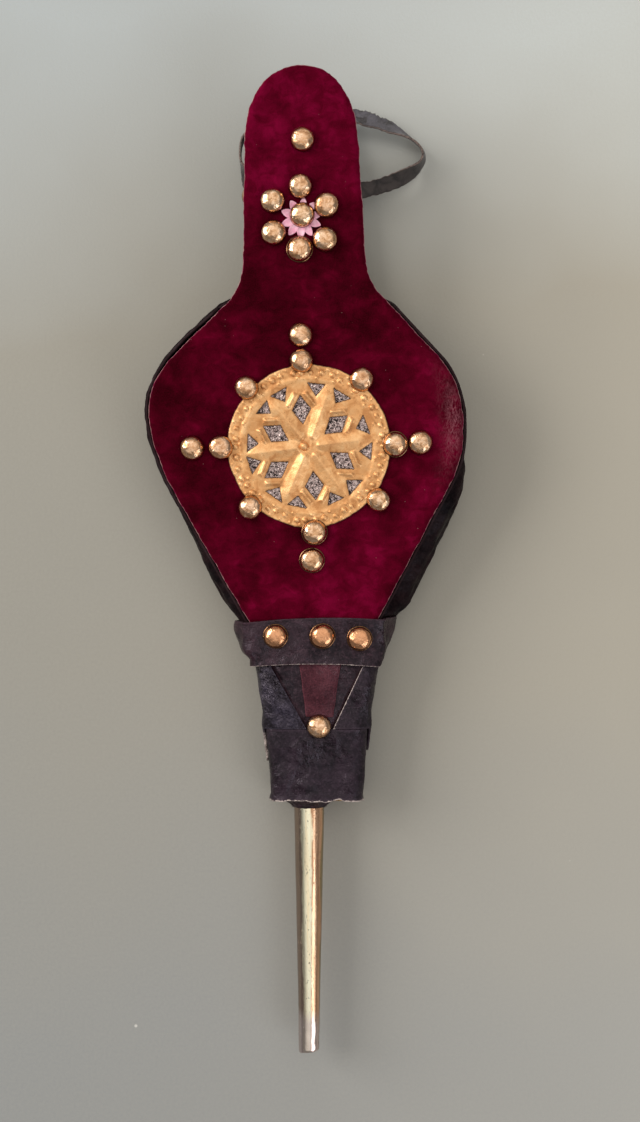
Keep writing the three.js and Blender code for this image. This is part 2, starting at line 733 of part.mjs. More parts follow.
function gusset() {
  const outer = [];
  const inner = [];
  for (const station of gussetStations()) {
    const { x, y, nx, ny, edge } = station;
    const fold = foldReach(station);
    const roll = Math.max(fold * 0.7, x > 0 ? 1.6 : 2.4);
    const section = [
      [RIM, edge ? -0.5 : 0.04],
      [RIM, 0.05],
      [roll, 0.16],
      [mix(roll, fold, 0.55), 0.33],
      [fold, 0.5],
      [mix(roll, fold, 0.55), 0.67],
      [roll, 0.84],
      [RIM, 0.95],
      [RIM, edge ? 1.5 : 0.96],
    ];
    const place = (n, share) => {
      const px = x + nx * n;
      const py = y + ny * n;
      if (share < 0) return onBack(px, py, 1);
      if (share > 1) return onFront(px, py, -1);
      return onBack(px, py, BACK_THICK).lerp(onFront(px, py, -FRONT_THICK), share);
    };
    const half = LEATHER / 2;
    const first = section.slice(edge ? 0 : 1, edge ? 9 : 8);
    const chain = edge ? first : [[RIM + 2.5, 0.04], ...first, [RIM + 2.5, 0.96]];
    outer.push(chain.map(([n, share]) => place(n + half, share)));
    inner.push(chain.map(([n, share]) => place(n - half, share)));
  }
  return cut(thickSheet(outer, inner), ...boardRoom());
}

// The leather strap over the hinge: nailed to the front board's end, lying on the nose block, with loose
// ears at the sides over the ends of the gusset.
function hingeLeather() {
  const rows = [
    { y: 14.2, left: 35.6, right: 37.6 },
    { y: 11, left: 35.8, right: 37 },
    { y: 5, left: 34.3, right: 35.2 },
    { y: 0.2, left: 32.2, right: 32.8 },
    { y: -4, left: 29.4, right: 31 },
    { y: -7.4, left: 28.6, right: 30.4 },
  ];
  const outer = [];
  const inner = [];
  for (const { y, left, right } of rows) {
    const arch = (share) => (y > 14 || y < -7 ? 1.2 * (1 - share * share) : 0);
    const top = (x, up) => {
      const along = y + arch(x / NOSE_HALF);
      if (along >= 0) return onFront(x, along, up);
      return new THREE.Vector3(HINGE.x + x, HINGE.y + along, BLOCK_TOP + up);
    };
    const half = y > 0 ? boardHalf(y) : NOSE_HALF;
    const wall = (x, z) => {
      if (y >= 0) return onBack(x, y, z);
      return new THREE.Vector3(HINGE.x + x, HINGE.y + y, z);
    };
    const up = VELVET_TOP + LAYER_GAP;
    const side = (ear, sign, grow) => {
      const foot = y > 0 ? Math.max(ear - 2.5, half + (sign > 0 ? 2.8 : 1.6)) : ear;
      const corner = Math.min(half + 3.3, ear - 0.5);
      return [
        wall(sign * (foot + grow), 1),
        wall(sign * (ear + grow), 10),
        wall(sign * (ear + grow), 18),
        top(sign * (corner + grow), -2.5),
        top(sign * (corner - 1.7 + grow / 2), up + grow),
        top((sign * NOSE_HALF) / 2, up + grow),
      ];
    };
    const chain = (grow) => [...side(right, 1, grow), top(0, up + grow), ...side(left, -1, grow).reverse()];
    outer.push(chain(LEATHER));
    inner.push(chain(0));
  }
  const holes = HINGE_NAILS.map(([x, y]) => onFront(x, y, 0)).map((p) => [p.x, p.y]);
  return cut(thickSheet(outer, inner), ...shankHoles(holes, BLOCK_TOP - 2, BLOCK_TOP + 9));
}

// ---------------------------------------------------------------- hanging strap

// The strap's middle line, and how far each place stands on its edge: 0 lies flat, 1 is upright.
const STRAP_ROUTE = [
  [-28.8, 115.5, 9.2, 0],
  [-29.8, 124.5, 9.3, 0.05],
  [-32.2, 130, 11.4, 0.5],
  [-34.6, 135.2, 12.8, 0.95],
  [-35.3, 141, 12.6, 1],
  [-33.4, 148, 12.6, 1],
  [-25, 154.8, 12.6, 0.8],
  [-12, 158.8, 11, 0.4],
  [3, 160, 10.4, 0.25],
  [16, 159.2, 10.4, 0.2],
  [26, 157.2, 9.4, 0.2],
  [36, 154, 7.6, 0.4],
  [45, 150, 5.4, 0.8],
  [50.3, 145.6, 4.7, 0.85],
  [51.7, 141, 4.6, 0.85],
  [49.4, 136.6, 4.8, 0.8],
  [44, 132.4, 6, 0.5],
  [35, 127.8, 8, 0.25],
  [25, 124.6, 9.6, 0.15],
  [8, 121.8, 10.4, 0.1],
  [-12, 120.6, 10.4, 0.05],
  [-26, 120.2, 10.6, 0],
  [-33, 120.6, 10.6, 0],
];

function strap() {
  const line = new THREE.CatmullRomCurve3(STRAP_ROUTE.map(([x, y, z]) => new THREE.Vector3(x, y, z)));
  const steps = 2 * (STRAP_ROUTE.length - 1);
  const up = new THREE.Vector3(0, 0, 1);
  const outer = [];
  const inner = [];
  for (let i = 0; i <= steps; i++) {
    const at = (i / steps) * (STRAP_ROUTE.length - 1);
    const before = STRAP_ROUTE[Math.floor(at)];
    const after = STRAP_ROUTE[Math.ceil(at)];
    const stand = (mix(before[3], after[3], at % 1) * Math.PI) / 2;
    const middle = line.getPoint(i / steps);
    const side = line.getTangent(i / steps).cross(up).normalize();
    const across = side.clone().multiplyScalar(Math.cos(stand)).addScaledVector(up, Math.sin(stand));
    const thick = up.clone().multiplyScalar(Math.cos(stand)).addScaledVector(side, -Math.sin(stand));
    const edge = (a, t) =>
      middle
        .clone()
        .addScaledVector(across, (a * STRAP_WIDTH) / 2)
        .addScaledVector(thick, (t * STRAP_THICK) / 2);
    outer.push([edge(-1, 1), edge(1, 1)]);
    inner.push([edge(-1, -1), edge(1, -1)]);
  }
  return cut(thickSheet(outer, inner), ...shankHoles([STRAP_NAIL], 0, 20));
}

function addLeathers() {
  add(bellows, "gusset", gusset(), leather);
  add(bellows, "hinge_leather", hingeLeather(), leather);
  add(bellows, "strap", strap(), leather);
  addNails(bellows, "strap_nail", [STRAP_NAIL], STRAP_SEAT);
}

// ---------------------------------------------------------------- the part

addBack();
addFront();
addNose();
addLeathers();

export default bellows;
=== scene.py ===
"""The looks of the hand bellows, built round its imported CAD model.

Lengths are in millimetres until build() turns them into metres. The camera, the table and the lights are
placed in metres. A piece on a board is drawn in that board's own frame: x runs across it, y from the
hinge to the end of the handle, and z = 0 is the front board's outer face or the back board's underside.
"""

import itertools
import json
import math

import bpy
import numpy as np
from mathutils import Matrix, Vector, geometry


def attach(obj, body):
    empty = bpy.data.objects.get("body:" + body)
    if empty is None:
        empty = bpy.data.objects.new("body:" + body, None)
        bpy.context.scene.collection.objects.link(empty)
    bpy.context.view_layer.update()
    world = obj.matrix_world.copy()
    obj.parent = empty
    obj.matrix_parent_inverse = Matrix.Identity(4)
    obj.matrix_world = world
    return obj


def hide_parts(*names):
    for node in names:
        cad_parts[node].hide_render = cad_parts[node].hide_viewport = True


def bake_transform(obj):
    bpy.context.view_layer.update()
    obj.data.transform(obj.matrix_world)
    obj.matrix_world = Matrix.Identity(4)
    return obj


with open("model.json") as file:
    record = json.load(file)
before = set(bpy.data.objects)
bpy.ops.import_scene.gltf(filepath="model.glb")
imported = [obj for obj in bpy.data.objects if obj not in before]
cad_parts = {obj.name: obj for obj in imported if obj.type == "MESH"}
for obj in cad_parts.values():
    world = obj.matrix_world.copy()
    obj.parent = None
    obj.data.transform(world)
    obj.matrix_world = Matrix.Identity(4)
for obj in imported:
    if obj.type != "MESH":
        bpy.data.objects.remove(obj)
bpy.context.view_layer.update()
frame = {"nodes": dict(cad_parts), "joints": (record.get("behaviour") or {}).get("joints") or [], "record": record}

MM = 0.001

# ---- dimensions that the CAD model shares

BOARD_HINGE = next(j for j in frame["joints"] if j["name"] == "board_hinge")
HINGE = Vector(BOARD_HINGE["pos_m"]) / MM
FRONT_YAW = math.atan2(BOARD_HINGE["axis"][1], BOARD_HINGE["axis"][0])
OPEN_ANGLE = math.radians(6)
BACK_YAW = math.radians(1.6)

FRONT_THICK = 6
BACK_THICK = 8
BACK_MARGIN = 0.4
BOARD_LENGTH = 262
NOSE_HALF = 28.8
NECK_HALF = 27.2
HANDLE_HALF = 25.0
RIGHT_SIDE = {"lower": (64, 76), "widest": (70, 102), "shoulder": (61, 131)}
LEFT_SIDE = {"lower": (61.9, 75), "widest": (72, 110), "shoulder": (62.2, 134)}
LAP = [(-26.4, -0.4), (-24.5, -12), (24.5, -12), (26.4, -0.4)]  # the back board under the nose block
INLET = (0, 56)
INLET_RADIUS = 13

VELVET_TOP = 1.35
MEDALLION_CENTRE = (0, 94)
MEDALLION_RADIUS = 37
MEDALLION_LOW = 1.95
FOIL_LOW = 1.5
FOIL_RADIUS = 33.8
FLOWER_CENTRE = (-0.9, 195.5)
PETALS = 10
PETAL_THICK = 0.16

NAIL_RADIUS = 5.6
NAIL_HEIGHT = 4.3
NOSE_NAIL = (1.7, -127.9)

BLOCK_TOP = 28
BLOCK_X = 0.8
BLOCK_REAR = -94.2
BAND_START = -129.3
BLOCK_FRONT = -163
BLOCK_CORNER = 5
BLOCK_HALF = [(BLOCK_FRONT, 19.8), (BAND_START, 22.4), (BLOCK_REAR, 28.4)]
LEATHER = 1.2
LAYER_GAP = 0.15
NOZZLE_X = -2.9
NOZZLE_Z = 14.5
NOZZLE_TIP = -282
NOZZLE_ROOT_RADIUS = 7.1
NOZZLE_TIP_RADIUS = 4.6

RIM = 1.3  # the gusset's middle lies this far outside the boards' edges
# How far the gusset's fold reaches out past that, by the distance from the hinge.
RIGHT_FOLD = [(0, 2.2), (5, 3.4), (11, 4.6), (16, 6.4), (25, 9.6), (48, 9.6), (70, 8.2), (84, 5)]
RIGHT_FOLD += [(98, -4), (115, -14)]
LEFT_FOLD = [(0, 2.2), (5, 3.4), (16, 4.6), (28, 6), (40, 5.7), (62, 3), (76, 1), (90, -6), (108, -14)]

STRAP_WIDTH = 8
STRAP_THICK = 1
# The strap's middle line, and how far each place stands on its edge: 0 lies flat, 1 is upright.
STRAP_ROUTE = [
    (-28.8, 115.5, 9.2, 0),
    (-29.8, 124.5, 9.3, 0.05),
    (-32.2, 130, 11.4, 0.5),
    (-34.6, 135.2, 12.8, 0.95),
    (-35.3, 141, 12.6, 1),
    (-33.4, 148, 12.6, 1),
    (-25, 154.8, 12.6, 0.8),
    (-12, 158.8, 11, 0.4),
    (3, 160, 10.4, 0.25),
    (16, 159.2, 10.4, 0.2),
    (26, 157.2, 9.4, 0.2),
    (36, 154, 7.6, 0.4),
    (45, 150, 5.4, 0.8),
    (50.3, 145.6, 4.7, 0.85),
    (51.7, 141, 4.6, 0.85),
    (49.4, 136.6, 4.8, 0.8),
    (44, 132.4, 6, 0.5),
    (35, 127.8, 8, 0.25),
    (25, 124.6, 9.6, 0.15),
    (8, 121.8, 10.4, 0.1),
    (-12, 120.6, 10.4, 0.05),
    (-26, 120.2, 10.6, 0),
    (-33, 120.6, 10.6, 0),
]

WORLD = np.eye(4)
ON_BACK = np.array(Matrix.Translation((HINGE.x, HINGE.y, 0)) @ Matrix.Rotation(BACK_YAW, 4, "Z"))
ON_FRONT = np.array(
    Matrix.Translation(HINGE) @ Matrix.Rotation(FRONT_YAW, 4, "Z") @ Matrix.Rotation(OPEN_ANGLE, 4, "X")
)


def carried(points, matrix):
    return np.asarray(points, float) @ matrix[:3, :3].T + matrix[:3, 3]


# ---- camera

CAMERA_PLACE = (0.0022, -0.05175, 0.7)  # it looks straight down
CAMERA_LENS, CAMERA_SENSOR = 46.72, 36

camera = bpy.data.objects.new("camera", bpy.data.cameras.new("camera"))
camera.location = CAMERA_PLACE
camera.data.sensor_width = CAMERA_SENSOR
camera.data.lens = CAMERA_LENS
bpy.context.scene.collection.objects.link(camera)
bpy.context.scene.camera = camera

# ---- numbers and noise


def smooth(value, low, high):
    t = np.clip((np.asarray(value, float) - low) / (high - low), 0, 1)
    return t * t * (3 - 2 * t)


def mix(a, b, t):
    return a + (b - a) * t


def hill(distance, width):
    """1 at no distance, falling away smoothly over about the width."""
    return np.exp(-((np.asarray(distance, float) / width) ** 2))


def along(pairs, place):
    """The value at a place, from (place, value) pairs joined by straight lines."""
    return np.interp(place, [p for p, _ in pairs], [v for _, v in pairs])


HASH = np.array([73856093, 19349663, 83492791])


def rough(points, size, seed=0):
    """Smooth noise from -1 to 1 at each point, with features of about the given size."""
    p = np.asarray(points, float) / size
    cell = np.floor(p).astype(np.int64)
    part = p - cell
    part = part * part * (3 - 2 * part)
    total = np.zeros(p.shape[:-1])
    for corner in itertools.product((0, 1), repeat=p.shape[-1]):
        key = (cell + corner) @ HASH[: p.shape[-1]] + seed * 2654435
        key = ((key ^ (key >> 13)) * 1274126177) & 0xFFFFFFFF
        value = ((key ^ (key >> 16)) & 0xFFFF) / 32767.5 - 1
        total += value * np.prod(np.where(corner, part, 1 - part), axis=-1)
    return total


def spline(points, count):
    """count points on a smooth curve through the given ones, evenly spread between them."""
    p = np.asarray(points, float)
    p = np.concatenate([2 * p[:1] - p[1:2], p, 2 * p[-1:] - p[-2:-1]])
    t = np.linspace(0, len(points) - 1, count)
    i = np.minimum(t.astype(int), len(points) - 2)
    f = (t - i).reshape((-1,) + (1,) * (p.ndim - 1))
    a, b, c, d = p[i], p[i + 1], p[i + 2], p[i + 3]
    return (2 * b + (c - a) * f + (2 * a - 5 * b + 4 * c - d) * f**2 + (3 * b - a - 3 * c + d) * f**3) / 2


def net(rows, row_count, column_count):
    """A fine grid through a coarse grid of points."""
    across = spline(np.swapaxes(np.asarray(rows, float), 0, 1), column_count)
    return spline(np.swapaxes(across, 0, 1), row_count)


def lengths(points):
    """How far each point is along the line of points."""
    steps = np.linalg.norm(np.diff(points, axis=0), axis=-1)
    return np.concatenate([np.zeros_like(steps[:1]), np.cumsum(steps, axis=0)])


def evenly(points, step):
    """The line of points, drawn again with equal steps."""
    points = np.asarray(points, float)
    at = lengths(points)
    places = np.linspace(0, at[-1], max(2, round(at[-1] / step) + 1))
    return np.stack([np.interp(places, at, points[:, k]) for k in range(points.shape[1])], axis=1)


def circle(count):
    """Points evenly round a circle of radius 1."""
    turn = np.linspace(0, 2 * math.pi, count, endpoint=False)
    return np.stack([np.cos(turn), np.sin(turn)], 1)


def edged(count, length):
    """count shares from 0 to 1, and one more 0.3 mm from each end, where a cut edge's look changes."""
    near = 0.3 / length
    return np.concatenate([[0, near], np.linspace(0, 1, count)[1:-1], [1 - near, 1]])


# ---- the boards' outline


def bezier(a, b, c, d):
    t = np.linspace(0, 1, 24)[:, None]
    a, b, c, d = (np.array(p, float) for p in (a, b, c, d))
    return (1 - t) ** 3 * a + 3 * (1 - t) ** 2 * t * b + 3 * (1 - t) * t * t * c + t**3 * d


def side_path(side, step=1.0):
    """One side of a board, from its narrow end to the end of the handle, drawn on the right."""
    (lx, ly), (wx, wy), (sx, sy) = side["lower"], side["widest"], side["shoulder"]
    neck, end = NECK_HALF, HANDLE_HALF
    lines = [
        [(NOSE_HALF, 0), (NOSE_HALF, 13)],
        bezier((lx, ly), (lx + 4.8, ly + 9), (wx, wy - 10), (wx, wy)),
        bezier((wx, wy), (wx, wy + 10), (sx + 6.4, sy - 8), (sx, sy)),
        bezier((neck + 12, 155.2), (neck + 5.2, 161.5), (neck + 1, 166), (neck, 176)),
        bezier((end, 229), (end - 0.6, 250), (14, BOARD_LENGTH), (0, BOARD_LENGTH)),
    ]
    return evenly(np.concatenate(lines), step)


def normals_of(path, closed=False):
    """The outward direction at each point of a path that runs anticlockwise."""
    if closed:
        way = np.roll(path, -1, axis=0) - np.roll(path, 1, axis=0)
    else:
        way = np.gradient(path, axis=0)
    way = way / np.linalg.norm(way, axis=1, keepdims=True)
    return np.stack([way[:, 1], -way[:, 0]], axis=1)


def board_outline(margin=0.0):
    """A board's whole outline, anticlockwise, moved outwards by a margin."""
    left = side_path(LEFT_SIDE)[::-1][1:] * (-1, 1)
    outline = np.concatenate([side_path(RIGHT_SIDE), left])
    return outline + normals_of(outline, closed=True) * margin


# ---- meshes


def build(name, node, body, look, *parts, sharp=None, matrix=WORLD):
    """Makes the piece that stands for a CAD node, from closed parts: their points, faces, and distances from the
    cut edge. It rides on the body, or on none when no body is given."""
    points, faces, edge = [], [], []
    for part_points, part_faces, part_edge in parts:
        start = len(points)
        points.extend(part_points)
        faces.extend([[start + i for i in face] for face in part_faces])
        edge.extend(part_edge)
    mesh = bpy.data.meshes.new(name)
    mesh.from_pydata((carried(points, matrix) * MM).tolist(), [], faces)
    mesh.attributes.new("edge", "FLOAT", "POINT").data.foreach_set("value", np.array(edge, np.float32))
    mesh.shade_smooth()
    if sharp:
        mesh.set_sharp_from_angle(angle=math.radians(sharp))
    mesh.materials.append(look)
    piece = bpy.data.objects.new(name, mesh)
    bpy.context.scene.collection.objects.link(piece)
    if body:
        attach(piece, body)
    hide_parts(node)
    return piece


def outward(points, faces):
    """The faces of a closed part, turned round if they point in."""
    p = np.asarray(points, float)
    p = p - p.mean(0)
    volume = 0
    for size in {len(f) for f in faces}:
        corners = p[[f for f in faces if len(f) == size]]
        for i in range(1, size - 1):
            volume += np.sum(corners[:, 0] * np.cross(corners[:, i], corners[:, i + 1]))
    return [f[::-1] for f in faces] if volume < 0 else faces


def grid_normals(grid, wrap=False):
    """The way out of the surface at each point of a grid. With wrap, its rows close on themselves."""
    down = np.roll(grid, -1, axis=1) - np.roll(grid, 1, axis=1) if wrap else np.gradient(grid, axis=1)
    normal = np.cross(np.gradient(grid, axis=0), down)
    return normal / np.maximum(np.linalg.norm(normal, axis=-1, keepdims=True), 1e-9)


def outer_normals(grid, wrap, *above):
    """The grid's normals, turned so that the one at the given row and column points up."""
    normal = grid_normals(grid, wrap)
    return -normal if normal[(*above, 2)] < 0 else normal


def sheet(middle, thick, wrap=False):
    """A closed part: a sheet through a grid of points. With wrap, its rows close on themselves."""
    middle = np.asarray(middle, float)
    rows, columns = middle.shape[:2]
    half = grid_normals(middle, wrap) * thick / 2
    points = np.concatenate([(middle + half).reshape(-1, 3), (middle - half).reshape(-1, 3)])
    under = rows * columns
    last = columns if wrap else columns - 1
    i, j = (a.ravel() for a in np.meshgrid(np.arange(rows - 1), np.arange(last), indexing="ij"))
    k = (j + 1) % columns
    a, b, c, d = i * columns + j, (i + 1) * columns + j, (i + 1) * columns + k, i * columns + k
    faces = np.concatenate([np.stack([a, b, c, d], 1), np.stack([d, c, b, a], 1) + under]).tolist()
    for j in range(last):
        k = (j + 1) % columns
        end = (rows - 1) * columns
        faces += [[j, k, k + under, j + under], [end + k, end + j, end + j + under, end + k + under]]
    if not wrap:
        for i in range(rows - 1):
            a, b = i * columns, (i + 1) * columns
            faces.append([b, a, a + under, b + under])
            faces.append([a + last, b + last, b + last + under, a + last + under])
    down = lengths(middle)
    edge = np.minimum(down, down[-1] - down)
    if not wrap:
        side = lengths(np.swapaxes(middle, 0, 1)).T
        edge = np.minimum(edge, np.minimum(side, side[:, -1:] - side))
    return points, outward(points, faces), np.tile(edge.ravel(), 2)


def inside_ring(points, ring):
    """Whether each point lies inside a closed ring."""
    x, y = points[:, 0, None], points[:, 1, None]
    a, b = ring, np.roll(ring, -1, axis=0)
    crosses = (a[:, 1] > y) != (b[:, 1] > y)
    rise = np.where(b[:, 1] == a[:, 1], 1, b[:, 1] - a[:, 1])
    return np.sum(crosses & (x < a[:, 0] + (y - a[:, 1]) / rise * (b[:, 0] - a[:, 0])), axis=1) % 2 == 1


def between_rings(points, rings):
    """Whether each point lies inside the first ring and outside the others."""
    inside = [inside_ring(points, ring) for ring in rings]
    return inside[0] & ~np.any(inside[1:], axis=0) if len(rings) > 1 else inside[0]


def ring_distance(points, rings):
    """Each point's distance from the nearest ring."""
    starts = np.concatenate(rings)
    ways = np.concatenate([np.roll(r, -1, axis=0) - r for r in rings])
    squares = np.maximum(np.sum(ways * ways, axis=1), 1e-12)
    found = []
    for block in np.array_split(points, max(1, len(points) // 2000)):  # few at a time, to save memory
        off = block[:, None] - starts
        share = np.clip(np.sum(off * ways, axis=2) / squares, 0, 1)
        found.append(np.linalg.norm(off - share[..., None] * ways, axis=2).min(axis=1))
    return np.concatenate(found)


def filled(rings, loose):
    """Points and triangles that fill the first ring, less the other rings, which are holes."""
    points = np.concatenate([*rings, loose]) if len(loose) else np.concatenate(rings)
    links, start = [], 0
    for ring in rings:
        links += [(start + i, start + (i + 1) % len(ring)) for i in range(len(ring))]
        start += len(ring)
    vectors = [Vector(p) for p in points]
    made, _, faces, source, _, _ = geometry.delaunay_2d_cdt(vectors, links, [], 0, 1e-7)
    index = [s[0] for s in source]
    made = np.array([tuple(p) for p in made])
    middles = made[np.array(faces)].mean(axis=1)
    keep = between_rings(middles, rings)
    return points, [[index[i] for i in face] for face, kept in zip(faces, keep) if kept]


def lattice(rings, step):
    """Loose points in rows inside the first ring, clear of every ring's edge."""
    low, high = rings[0].min(0), rings[0].max(0)
    rows = np.arange(low[1], high[1], step * 0.866)
    columns = np.arange(low[0], high[0], step)
    shift = np.where(np.arange(len(rows)) % 2, step / 2, 0)
    points = np.stack(np.broadcast_arrays(columns + shift[:, None], rows[:, None]), -1).reshape(-1, 2)
    points = points[between_rings(points, rings)]
    return points[ring_distance(points, rings) > step * 0.6]


def level(height):
    """A flat face for plate()."""
    return lambda points, away: 0 * away + height


def plate(rings, step, top, bottom, bevel=0.0):
    """A closed part: a flat plate with the rings as its outline and holes. top and bottom give the
    height from the points and their distances from the edge. bevel rounds both faces' edges."""
    loose = lattice(rings, step) if step else np.zeros((0, 2))
    if bevel:
        inner = [
            ring - normals_of(ring, closed=True) * bevel * share * (1 if ring is rings[0] else -1)
            for ring in rings
            for share in (0.08, 0.3, 0.62, 1.05)
        ]
        clear = loose[ring_distance(loose, rings) > bevel * 1.6] if len(loose) else loose
        loose = np.concatenate([*inner, clear])
    points, faces = filled(rings, loose)
    away = ring_distance(points, rings)
    away[: sum(map(len, rings))] = 0
    drop = bevel - np.sqrt(np.maximum(0, bevel**2 - np.maximum(0, bevel - away) ** 2)) if bevel else 0
    upper = np.column_stack([points, top(points, away) - drop])
    if bevel:
        lower_points, lower_faces, lower_away, lower_drop = points, faces, away, drop
    else:
        lower_points, lower_faces = filled(rings, np.zeros((0, 2)))
        lower_away, lower_drop = np.zeros(len(lower_points)), 0
    lower = np.column_stack([lower_points, bottom(lower_points, lower_away) + lower_drop])
    under = len(upper)
    faces = faces + [[under + i for i in face[::-1]] for face in lower_faces]
    start = 0
    for ring in rings:
        for i in range(len(ring)):
            a, b = start + i, start + (i + 1) % len(ring)
            faces.append([b, a, a + under, b + under])
        start += len(ring)
    return np.concatenate([upper, lower]), faces, np.concatenate([away, lower_away])


def lathe(profile, segments, shape):
    """A closed part: a profile of (radius, height) turned round the z axis. It starts and ends on the
    axis, or closes on itself. shape moves the grid of points, given its angles."""
    profile = np.asarray(profile, float)
    closes = bool(np.allclose(profile[0], profile[-1]))
    if closes:
        profile = profile[:-1]
    angle = np.linspace(0, 2 * math.pi, segments, endpoint=False)
    radius, height = profile[:, :1], np.repeat(profile[:, 1:], segments, 1)
    grid = shape(np.stack([radius * np.cos(angle), radius * np.sin(angle), height], -1), angle)
    faces = []
    for i in range(len(profile) if closes else len(profile) - 1):
        a, b = i * segments, (i + 1) % len(profile) * segments
        turn = [(j, (j + 1) % segments) for j in range(segments)]
        faces += [[a + j, a + k, b + k, b + j] for j, k in turn]
    points = grid.reshape(-1, 3)
    if not closes:  # each end's ring of equal points becomes one point
        last = (len(profile) - 1) * segments
        swap = {i: 0 for i in range(segments)} | {last + i: last for i in range(segments)}
        faces = [list(dict.fromkeys(swap.get(i, i) for i in face)) for face in faces]
        used = sorted({i for face in faces for i in face})
        new = {old: n for n, old in enumerate(used)}
        points, faces = points[used], [[new[i] for i in face] for face in faces]
    return points, outward(points, faces), np.full(len(points), 9.0)


# ---- looks


class Look:
    """One material's node tree. Lengths are in millimetres."""

    def __init__(self, name, **sockets):
        self.material = bpy.data.materials.new(name)
        self.material.use_nodes = True
        self.tree = self.material.node_tree
        self.shader = next(n for n in self.tree.nodes if n.type == "BSDF_PRINCIPLED")
        self.finish(**sockets)
        self.place = self.add("ShaderNodeTexCoord").outputs["Object"]

    def put(self, node, socket, value):
        """Links an output to a socket, or sets it to a value."""
        target = node.inputs[socket]
        if isinstance(value, bpy.types.NodeSocket):
            self.tree.links.new(value, target)
        else:
            is_colour = hasattr(value, "__len__") and target.type == "RGBA"
            target.default_value = (*value, 1) if is_colour else value

    def add(self, kind, inputs=None, **settings):
        node = self.tree.nodes.new(kind)
        for key, value in settings.items():
            setattr(node, key, value)
        for socket, value in (inputs or {}).items():
            self.put(node, socket, value)
        return node

    def stretched(self, x, y, z):
        """The place, with each axis's features made longer by the given factor."""
        inputs = {"Vector": self.place, "Scale": (1 / x, 1 / y, 1 / z)}
        return self.add("ShaderNodeMapping", inputs).outputs["Vector"]

    def noise(self, size, detail=3, roughness=0.5, distortion=0, at=None):
        inputs = {"Vector": at or self.place, "Scale": 1 / (size * MM), "Detail": detail}
        inputs |= {"Roughness": roughness, "Distortion": distortion}
        return self.add("ShaderNodeTexNoise", inputs).outputs["Fac"]

    def cells(self, size, feature="F1", output="Distance", at=None):
        inputs = {"Vector": at or self.place, "Scale": 1 / (size * MM)}
        return self.add("ShaderNodeTexVoronoi", inputs, feature=feature).outputs[output]

    def attribute(self, name):
        return self.add("ShaderNodeAttribute", attribute_name=name).outputs["Fac"]

    def ramp(self, share, *stops):
        """Colours or numbers along a share from 0 to 1."""
        node = self.add("ShaderNodeValToRGB", {"Fac": share})
        set_ramp(node.color_ramp, stops)
        return node.outputs["Color"]

    def mix(self, share, a, b, how="MIX"):
        node = self.add("ShaderNodeMix", {0: share}, data_type="RGBA", blend_type=how)
        self.put(node, 6, a)
        self.put(node, 7, b)
        return node.outputs[2]

    def coat(self, under, colour, share, *stops, where=None):
        """A colour laid over another as thickly as the ramp of a share says, and only where it may."""
        mask = self.ramp(share, *stops)
        return self.mix(mask if where is None else self.maths("MULTIPLY", mask, where), under, colour)

    def maths(self, how, a, b=0.0, c=0.0):
        return self.add("ShaderNodeMath", {0: a, 1: b, 2: c}, operation=how).outputs[0]

    def plus(self, a, b, factor):
        """a, and b times the factor."""
        return self.maths("MULTIPLY_ADD", b, factor, a)

    def bump(self, height, depth, over=None):
        """Bumps of the given depth, on top of earlier ones."""
        inputs = {"Height": height, "Distance": depth * MM}
        if over is not None:
            inputs["Normal"] = over
        return self.add("ShaderNodeBump", inputs).outputs["Normal"]

    def finish(self, **sockets):
        for socket, value in sockets.items():
            self.put(self.shader, socket.replace("_", " "), value)
        return self.material


def set_ramp(ramp, stops):
    while len(ramp.elements) < len(stops):
        ramp.elements.new(0.5)
    for element, (at, value) in zip(ramp.elements, stops):
        element.position = at
        element.color = (*(value if hasattr(value, "__len__") else (value,) * 3), 1)


def scaled(colour, factor, plus=0.0):
    return [min(1, factor * v + plus) for v in colour]


def velvet_look():
    look = Look("velvet", Sheen_Weight=0.22, Sheen_Roughness=0.3, Sheen_Tint=(0.8, 0.03, 0.2))
    nap = look.noise(5.2, 4, 0.6, 1, look.stretched(1.3, 1, 1))
    pile = look.noise(0.45, 3, 0.7)
    lie = look.plus(look.mix(0.45, look.noise(15, 3, 0.55, 0.7), nap), look.attribute("tone_by_place"), 0.16)
    shade = look.ramp(
        lie, (0.28, (0.024, 0.0001, 0.002)), (0.45, (0.054, 0.0002, 0.0055)),
        (0.6, (0.098, 0.0005, 0.0115)), (0.8, (0.2, 0.002, 0.031)),
    )
    shade = look.coat(shade, (0.16, 0.001, 0.02), pile, (0.4, 0), (0.75, 0.3))
    fluff = look.noise(1.1, 4, 0.75, 1.5, look.stretched(1, 2.6, 1))
    worn = look.attribute("worn")
    shade = look.coat(shade, (0.3, 0.1, 0.13), fluff, (0.42, 0), (0.66, 1), where=worn)
    shade = look.coat(shade, (0.5, 0.3, 0.27), look.cells(5.5), (0.02, 0.5), (0.035, 0))
    edge = look.attribute("edge")
    # A magenta band painted along the edge: a painted sheen where the pile rolls over the board's edge.
    shade = look.coat(shade, (0.2, 0.008, 0.05), look.plus(edge, nap, 1.2), (0.8, 0.75), (1, 0))
    frayed = look.plus(edge, look.noise(2.6, 4), 0.9)
    shade = look.coat(shade, (0.46, 0.27, 0.26), frayed, (0.5, 0.9), (0.66, 0))
    bumps = look.bump(lie, 1.2, look.bump(pile, 0.35))
    return look.finish(Base_Color=shade, Normal=bumps, Specular_IOR_Level=0.02, Roughness=0.9)


RAW_LEATHER = (0.6, 0.5, 0.46)


